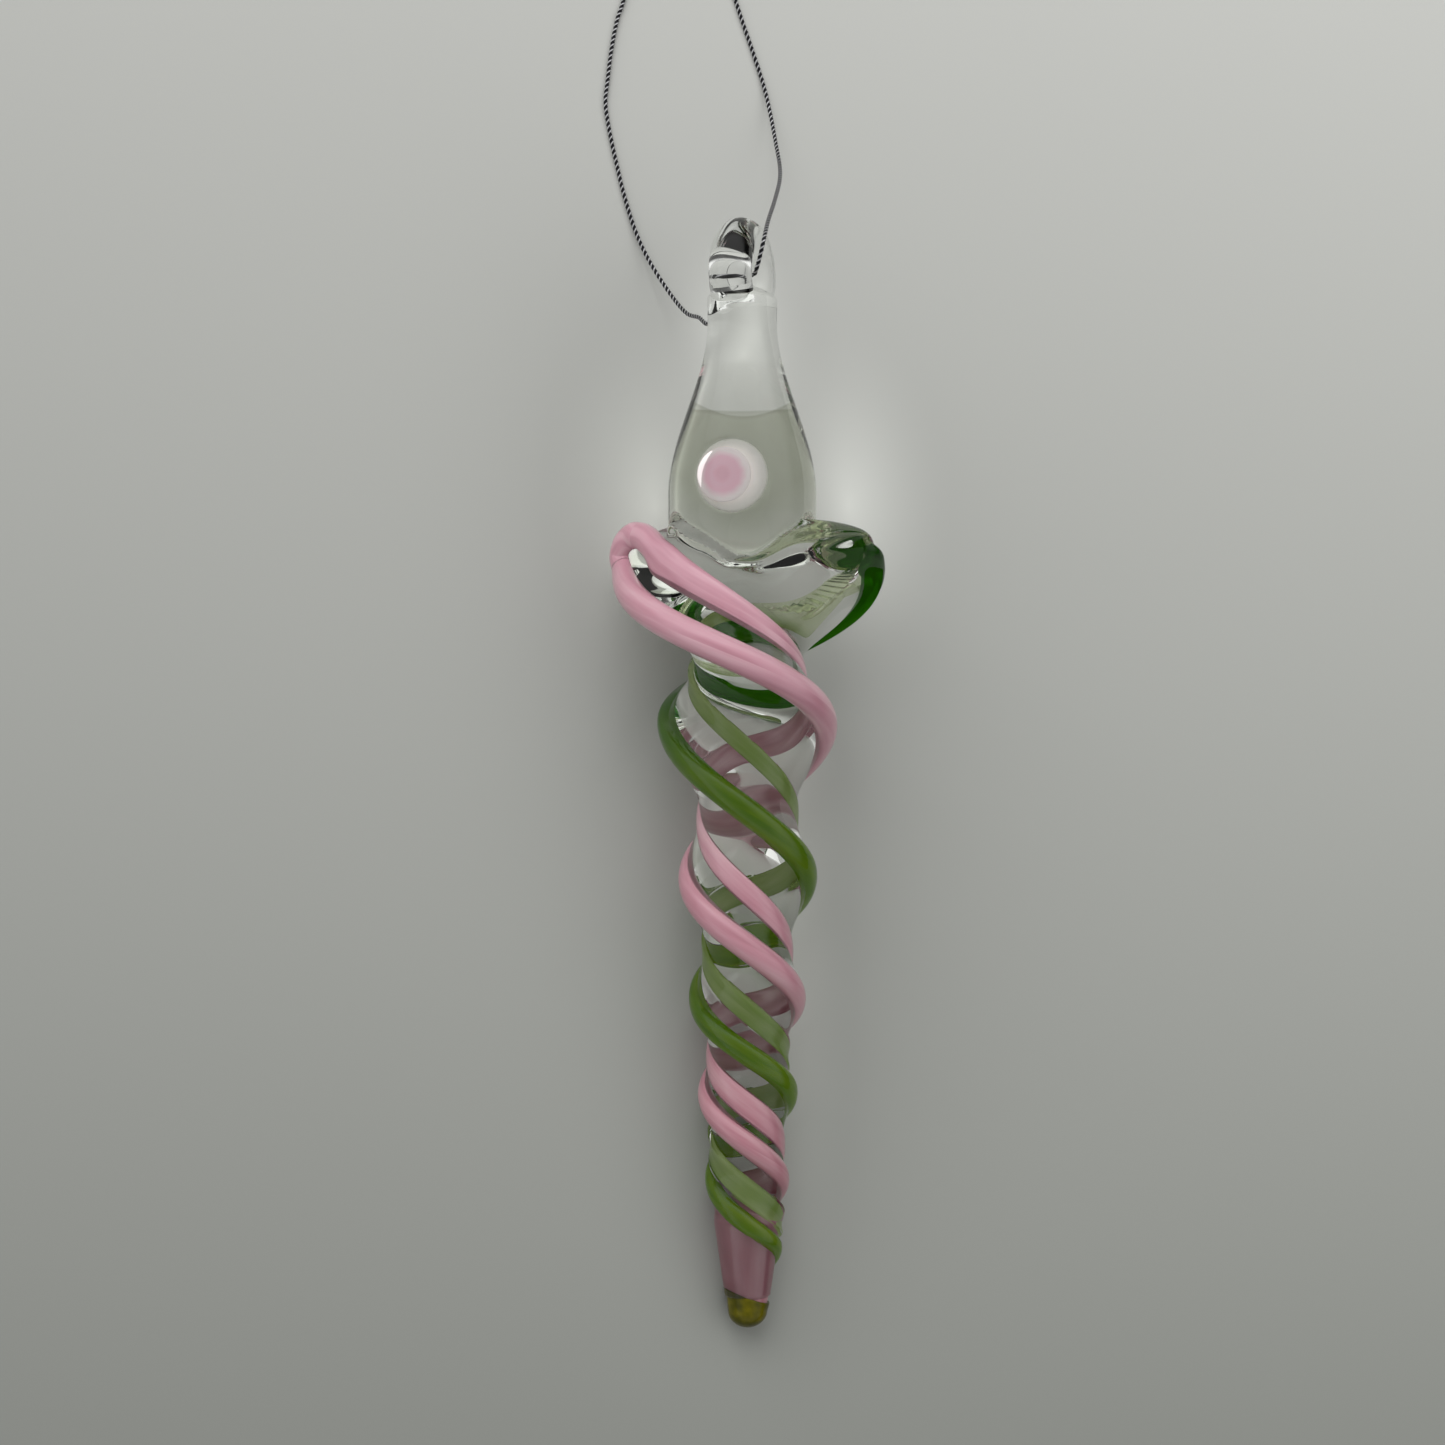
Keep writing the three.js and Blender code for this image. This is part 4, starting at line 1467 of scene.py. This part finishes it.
PINK_STRAND = Strand(
    Hue.PINK, ear_deepening=0.0, edge_broad=1.12, face_wide=1.15,
    bend=((-15.8, -4.6, -3.85), (-15.4, -3.1, -3.1), (-14.4, -2.2, -2.0), (-13.1, -2.4, -0.5), (-11.7, -3.8, 1.4)),
)
GREEN_STRAND = Strand(
    Hue.GREEN, ear_deepening=-0.1, overrun=8.0, skin=0.13, start=3.5, cap=1.7,
    face_stop=-3.0, face_wide=1.05, face_high=0.5, face_high_top=0.1, bend_wide=1.4, bend_high=1.3,
    bend=((14.9, -5.2, 3.4), (14.8, -4.7, 2.0), (14.4, -4.5, 0.4), (13.6, -4.8, -1.2), (12.4, -5.4, -2.5)),
)


@dataclass(frozen=True)
class ClearBody:
    """All the clear glass, fused into one: the eye, the head with its lens, and the ribbon.

    Attributes:
        columns: points round the section.
        crowding: angle, strength and width in degrees of the places where they lie closer together.
        head_rows: rows over the head; ear_rows are over the ears, from ear_top down over ear_span,
            and twist_rows over the rest.
        past_foot: how far the skin over the cone runs on past the ribbon's foot, mm.
        end_rounding: length over which that skin draws in at its end, mm.
        cone_skin: its thickness, mm.
        crease: rounding of the crease between head and ribbon, mm, with edge_crease and
            face_crease beside the green strands' ridges.
        face_closing: length over which the ridge on the face is rounded off at its end, mm.
        spare: what a ridge is larger than its strand all round, mm.
        groove: depth, place below the fold and width of the groove under the head, mm.
        lip: height, place and width of the lip under that groove, mm.
        fold_reach: how far apart head and ribbon may lie where the groove still shows, mm.
        fold_front: sines of the direction between which the groove comes in towards the front.
        tuck: how much the glass is drawn in at the pink ear, mm, by tuck_at below the shoulder
            over tuck_length, and over tuck_width in degrees.
        eye_crease: sharpest angle that is still smoothed, in degrees.
    """

    columns: int = 184
    crowding: tuple = ((0, 3.0, 14.0), (180, 1.5, 14.0), (360, 3.0, 14.0), (282, 1.5, 12.0))
    head_rows: int = 74
    ear_rows: int = 90
    ear_top: float = 1.4
    ear_span: float = 7.4
    twist_rows: int = 276
    past_foot: float = 10.5
    end_rounding: float = 0.5
    cone_skin: float = 0.14
    crease: float = 0.35
    edge_crease: float = 0.3
    face_crease: float = 0.2
    face_closing: float = 1.6
    spare: float = 0.02
    groove: tuple[float, float, float] = (1.4, 0.2, 0.42)
    lip: tuple[float, float, float] = (0.9, 1.3, 0.6)
    fold_reach: float = 2.5
    fold_front: tuple[float, float] = (-0.2, 0.3)
    tuck: float = 1.5
    tuck_at: float = 6.0
    tuck_length: float = 5.0
    tuck_width: float = 15.0
    eye_crease: float = 38.0

    def heights(self) -> Array:
        """Rows from the neck's dome down past the ribbon's foot, closer together where it turns fast."""
        dome = HEAD.length + HEAD.neck_dome * np.cos(np.linspace(0.0, 0.5 * math.pi, 12))[1:]
        head = np.linspace(HEAD.length, self.ear_top, self.head_rows)[1:]
        ear = np.linspace(self.ear_top, -self.ear_span, self.ear_rows)[1:]
        down = np.linspace(0.0, 1.0, self.twist_rows)[1:] ** 0.95
        ribbon = -self.ear_span - (RIBBON.length + self.past_foot - self.ear_span) * down
        return np.concatenate([dome, head, ear, ribbon])

    def angles(self) -> Array:
        """Columns round the section, from its long axis in degrees, closer together at the strands."""
        fine = np.linspace(0.0, 360.0, 1441)
        weight = 1.0 + sum(more * bell(fine - at, width) for at, more, width in self.crowding)
        total = np.concatenate([[0.0], np.cumsum(0.5 * (weight[1:] + weight[:-1]))])
        return np.interp(np.linspace(0.0, total[-1], self.columns, endpoint=False), total, fine)

    def bulge(self, off: Array, out: Array, high: Array, wide: Array) -> Array:
        """The far side of a strand's section, an ellipse, seen from the axis.

        It is r = (b + √(b² - a c)) / a for a = (cos/h)² + (sin/w)², b = out cos / h², c = (out/h)² - 1.

        Args:
            off: angle between the ray and the section's middle, in degrees.
            out: from the axis to that middle.
            high: half the section's height, out from the axis.
            wide: half its width.

        Returns:
            The radius, 0 where the ray misses it.
        """
        high, wide, off = high + self.spare, wide + self.spare, np.radians(off)
        a = (np.cos(off) / high) ** 2 + (np.sin(off) / wide) ** 2
        b = out * np.cos(off) / high**2
        root = b**2 - a * ((out / high) ** 2 - 1.0)
        return np.where((root > 0) & (np.cos(off) > 0), (b + np.sqrt(np.maximum(root, 0.0))) / a, 0.0)

    def over_edge(self, drop: Array, angle: Array) -> Array:
        """Radius over the green strand on the ribbon's edge, rounded off at its start and its end.

        Args:
            drop: distance down.
            angle: from the long axis, in degrees.

        Returns:
            The radius, 0 beside it.
        """
        green = GREEN_STRAND
        cap = green.cap + 0.05
        closed = np.sqrt(1.0 - np.clip((green.start + cap - drop) / cap, 0.0, 1.0) ** 2)
        closed = closed * (1.0 - smoothstep(drop, green.last - 1.5, green.last + 0.6))
        out = green.edge_out(drop)
        wide = green.edge_wide(drop) * green.level_cut(drop, out, 0.0) * closed
        ridge = self.bulge(off_from(angle, green.hue.value), out, green.edge_high(drop) * closed, wide)
        return ridge * (drop > green.start)

    def over_face(self, drop: Array, angle: Array) -> Array:
        """Radius over the green strand on the ribbon's face, rounded off at its start and its end.

        Args:
            drop: distance down.
            angle: from the long axis, in degrees.

        Returns:
            The radius, 0 beside it.
        """
        green = GREEN_STRAND
        to_end = (RIBBON.length - green.face_stop + 0.1 - drop) / self.face_closing
        closed = np.sqrt(1.0 - np.clip(1.0 - to_end, 0.0, 1.0) ** 2)
        closed = closed * smoothstep(drop, green.start + 0.3, green.start + 1.6)
        out, at = green.face_out(drop), green.face_angle(drop)
        wide = green.face_half_width(drop) * green.level_cut(drop, out, green.hue.value - at) * closed
        ridge = self.bulge(off_from(angle, at), out, green.face_half_height(drop) * closed, wide)
        return ridge * (drop > green.start)

    def ribbon(self, y: Array, angle: Array, turned: Array) -> Array:
        """Radius of the ribbon, tucked in at the pink ear, and past its foot only a skin over the cone.

        Args:
            y: height over the shoulder.
            angle: from the long axis, in degrees.
            turned: the same as a direction, in radians.

        Returns:
            The radius.
        """
        drop = np.maximum(-y, 0.0)
        r = RIBBON.section(np.minimum(drop, RIBBON.length), angle) * RIBBON.grown(-y, angle, turned)
        at_ear = bell(off_from(angle, Hue.PINK.value), self.tuck_width) * bell(drop - self.tuck_at, self.tuck_length)
        r = r - self.tuck * at_ear
        cone = TIP.radius(np.maximum(drop - RIBBON.length, 0.0)) + self.cone_skin
        return r + (cone - r) * smoothstep(drop, RIBBON.length - 2.0, RIBBON.length + 1.5)

    def folded(self, y: Array, turned: Array, head: Array, r: Array) -> Array:
        """How far the glass is cut in at the fold under the head's front: a groove with a lip below it.

        Args:
            y: height over the shoulder.
            turned: direction from +X to +Z, in radians.
            head: radius of the head.
            r: radius of the whole, which shows the fold where it is near the head's.

        Returns:
            The depth, less than nought at the lip.
        """
        under = -y - RIBBON.fold(turned)
        (groove, groove_at, groove_width), (lip, lip_at, lip_width) = self.groove, self.lip
        cut = groove * bell(under - groove_at, groove_width) - lip * bell(under - lip_at, lip_width)
        front = smoothstep(np.sin(turned), *self.fold_front)
        return cut * bell(head - r, self.fold_reach) * (head > 1.0) * front

    def rings(self) -> Array:
        """The outer surface's points: the smooth largest of its parts, the fold, and the lens on the head."""
        y, angle = self.heights()[:, None], self.angles()[None, :]
        drop = np.maximum(-y, 0.0)
        turned = RIBBON.turned(drop, angle)
        centre = HEAD.shift * smoothstep(y, 0.0, 6.0)
        head = HEAD.section(y, turned, centre)
        r = smooth_max(self.ribbon(y, angle, turned), self.over_edge(drop, angle), self.edge_crease)
        r = smooth_max(r, self.over_face(drop, angle), self.face_crease)
        r = smooth_max(head, r, self.crease * smoothstep(y, 3.0, 0.0) + 1e-3)
        ended = np.clip((drop - RIBBON.length - self.past_foot) / self.end_rounding + 1.0, 0.0, 1.0)
        r = (r - self.folded(y, turned, head, r)) * (1.0 - 0.25 * ended)
        points = np.stack([centre + r * np.cos(turned), y + 0.0 * r, r * np.sin(turned)], -1)
        return points + HEAD.lens(points)[..., None] * HEAD.dot_axis()

    def build(self) -> None:
        """Joins the body and the eye into one closed mesh with a crease where the eye's feet land."""
        body = lofted("clear_glass_body", POSE.place(self.rings()))
        eye = lofted("eye_rod", POSE.place(HEAD.eye_rings()))
        join = body.modifiers.new("join_eye", "BOOLEAN")
        join.operation = "UNION"
        join.solver = "EXACT"
        join.object = eye
        bpy.context.view_layer.update()
        seen = body.evaluated_get(bpy.context.evaluated_depsgraph_get())
        mesh = bpy.data.meshes.new_from_object(seen)
        body.modifiers.clear()
        body.data = mesh
        mesh.name = body.name
        bpy.data.objects.remove(eye)
        mesh.polygons.foreach_set("use_smooth", np.ones(len(mesh.polygons), bool))
        mesh.set_sharp_from_angle(angle=math.radians(self.eye_crease))
        dressed(body, CLEAR, "clear_glass", "hanging_eye", "head_gather", "twisted_ribbon", "dot_lens")


@dataclass(frozen=True)
class Dot:
    """A pink disc on a white one, under the head's lens."""

    white_diameter: float = 8.4
    white_thickness: float = 1.2
    pink_diameter: float = 6.6
    pink_thickness: float = 1.0
    pink_shift: float = -0.9
    depth: float = -0.8
    step: float = 0.3
    power: float = 2.6
    sides: int = 48
    rows: int = 24

    def disc(self, name: str, diameter: float, floor: float, top: float, shift: float) -> bpy.types.Object:
        """A rounded disc: a superellipse turned about the dot's axis.

        Args:
            name: the object's name.
            diameter: its width.
            floor: where its back lies, proud of the head.
            top: where its front lies.
            shift: how far it is moved to the right.

        Returns:
            The disc.
        """
        a = np.linspace(-0.5 * math.pi, 0.5 * math.pi, self.rows + 2)[1:-1]
        t = round_angles(self.sides)
        r = 0.5 * diameter * np.cos(a) ** (2.0 / self.power)
        z = 0.5 * (floor + top) + 0.5 * (top - floor) * np.sign(np.sin(a)) * np.abs(np.sin(a)) ** (2.0 / self.power)
        axis, up = HEAD.dot_axis(), np.array([0.0, 1.0, 0.0])
        right = np.cross(up, axis)
        ring = np.cos(t)[None, :, None] * right + np.sin(t)[None, :, None] * up
        rings = HEAD.dot_point(0.0, shift) + r[:, None, None] * ring + z[:, None, None] * axis
        spread = np.tile((r / r.max())[:, None], (1, self.sides))
        return lofted(name, POSE.place(rings), np.linspace(0.0, diameter, self.rows), spread)

    def build(self) -> None:
        """Makes both discs."""
        low, top = self.depth - self.step, self.depth + self.pink_thickness
        white = self.disc("dot_white_glass", self.white_diameter, low - self.white_thickness, low, 0.0)
        pink = self.disc("dot_pink_glass", self.pink_diameter, self.depth, top, self.pink_shift)
        dressed(white, DOT_WHITE, "white_glass", "dot_white")
        dressed(pink, DOT_PINK, "pink_glass", "dot_pink")


@dataclass(frozen=True)
class Thread:
    """The metallic thread: two runs from the eye's hole to a knot, whose points the part's source gives.

    Beside the eye a point is across the eye's plane, to its front leg and up from its hole, in rod
    diameters. From there on it is right of the hole, beyond it and up from the surface, in mm.
    """

    diameter: float = 0.6
    pitch: float = 1.5
    groove: float = 0.28
    plies_from: tuple[float, float, float] = (0.13, 0.22, 0.97)
    sides: int = 12
    knot_radius: float = 1.0
    knot_thread: float = 0.64
    left_beside: tuple = (
        (-0.04, 0, 0), (-0.37, 0, -0.02), (-0.67, -0.17, -0.17),
        (-0.84, -0.44, -0.44), (-0.93, -0.56, -0.72), (-1.03, -0.46, -1.02),
    )
    right_beside: tuple = (
        (0.04, 0, 0), (0.28, 0.02, 0), (0.44, 0.22, 0.14), (0.63, 0.31, 0.71), (0.51, -0.33, 1.24),
    )
    left_run: tuple = (
        (-2.7, -3.2, 10.5), (-3, -1.8, 7), (-3.8, 1.4, 3.6), (-5.9, 6.6, 1.3), (-7.3, 10.6, 0.5),
        (-8.6, 15.4, 0.3), (-9.6, 20.2, 0.3), (-10.4, 24.8, 0.3), (-10.7, 28.1, 0.3), (-10.3, 31, 0.3),
        (-9.5, 35.7, 0.3), (-8.5, 39.8, 0.3), (-7.6, 42.2, 0.3), (-5.4, 50.7, 0.3), (-2.4, 60.7, 0.3),
        (0.9, 70.6, 0.3),
    )
    right_run: tuple = (
        (6.6, 11.4, 15.5), (9.6, 15.9, 10), (11.1, 18.9, 6.5), (12, 23.1, 3.2), (12.2, 27.8, 1.2),
        (11.8, 31.6, 0.45), (10.5, 36.4, 0.3), (9.4, 39.9, 0.3), (8.3, 43.6, 0.3), (6.1, 51.7, 0.3),
        (4, 61.3, 0.3), (2.7, 70.6, 0.3),
    )

    def points(self, beside: tuple, run: tuple) -> Array:
        """A run's chosen points in the row frame, mm.

        Args:
            beside: the points beside the eye.
            run: the points from there on.

        Returns:
            All of them, in order.
        """
        turn = math.radians(HEAD.eye_turn)
        axes = np.array([[math.cos(turn), 0, math.sin(turn)], [-math.sin(turn), 0, math.cos(turn)], [0, 1, 0]])
        near = POSE.place(HEAD.hole() + HEAD.eye_rod * np.array(beside, float) @ axes) / MM
        far = np.array(run, float)
        far[:, :2] += POSE.place(HEAD.hole())[:2] / MM
        return np.vstack([near, far])

    def plied(self, name: str, path: Array, radius: float) -> bpy.types.Object:
        """Two plies twisted round each other: the radius is r (1 - g/2 + g/2 cos 2(t - k s)) for a groove g.

        Args:
            name: the object's name.
            path: its points, mm.
            radius: the thread's, mm.

        Returns:
            The thread, which nowhere goes below the surface.
        """
        length = lengths_along(path)
        side = np.cross(np.gradient(path, axis=0), self.plies_from)
        t = round_angles(self.sides)[None, :]
        phase = 2.0 * (t - 2.0 * np.pi * length[:, None] / self.pitch)
        ply = 0.5 + 0.5 * np.cos(phase)
        width = radius * (1.0 - self.groove + self.groove * ply)
        rings = carried(path, side, width, width, self.sides)
        rings[..., 2] = np.maximum(rings[..., 2], 0.0)
        return lofted(name, rings * MM, length, ply)

    def knot_path(self, ends: Array) -> Array:
        """An overhand knot flat on the surface: a closed trefoil beyond the middle of both runs' ends.

        Args:
            ends: the two runs' last points.

        Returns:
            The knot's points, mm.
        """
        t = np.linspace(0.0, 2.0 * np.pi, 220)
        across = 1.5 * self.knot_radius + 0.5 * self.knot_thread
        middle = ends.mean(0) + np.array([0.0, 0.3 + across, 0.0])
        height = 0.5 * (self.knot_radius + self.knot_thread)
        ring = 0.5 * self.knot_radius * (2.0 + np.cos(3.0 * t))
        return np.stack([
            middle[0] + ring * np.cos(2.0 * t), middle[1] + ring * np.sin(2.0 * t),
            height + 0.5 * self.knot_radius * np.sin(3.0 * t),
        ], -1)

    def build(self) -> None:
        left = smooth_curve(self.points(self.left_beside, self.left_run), 0.1)
        right = smooth_curve(self.points(self.right_beside, self.right_run), 0.1)
        knot = self.plied("thread_knot", self.knot_path(np.array([left[-1], right[-1]])), 0.5 * self.knot_thread)
        dressed(knot, THREAD, "metallic_thread", "cord_knot")
        for side, path in (("left", left), ("right", right)):
            piece = self.plied(f"thread_run_{side}", path, 0.5 * self.diameter)
            dressed(piece, THREAD, "metallic_thread", f"cord_run_{side}")


def main() -> None:
    """Builds the studio and each sub-assembly, in order."""
    logging.basicConfig(level=logging.INFO, format="%(name)s: %(message)s")
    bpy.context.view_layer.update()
    STUDIO.build()
    Thread().build()
    ClearBody().build()
    PINK_STRAND.build()
    GREEN_STRAND.build()
    Dot().build()
    TIP.build()
    bpy.context.view_layer.update()


if __name__ == "__main__":
    main()
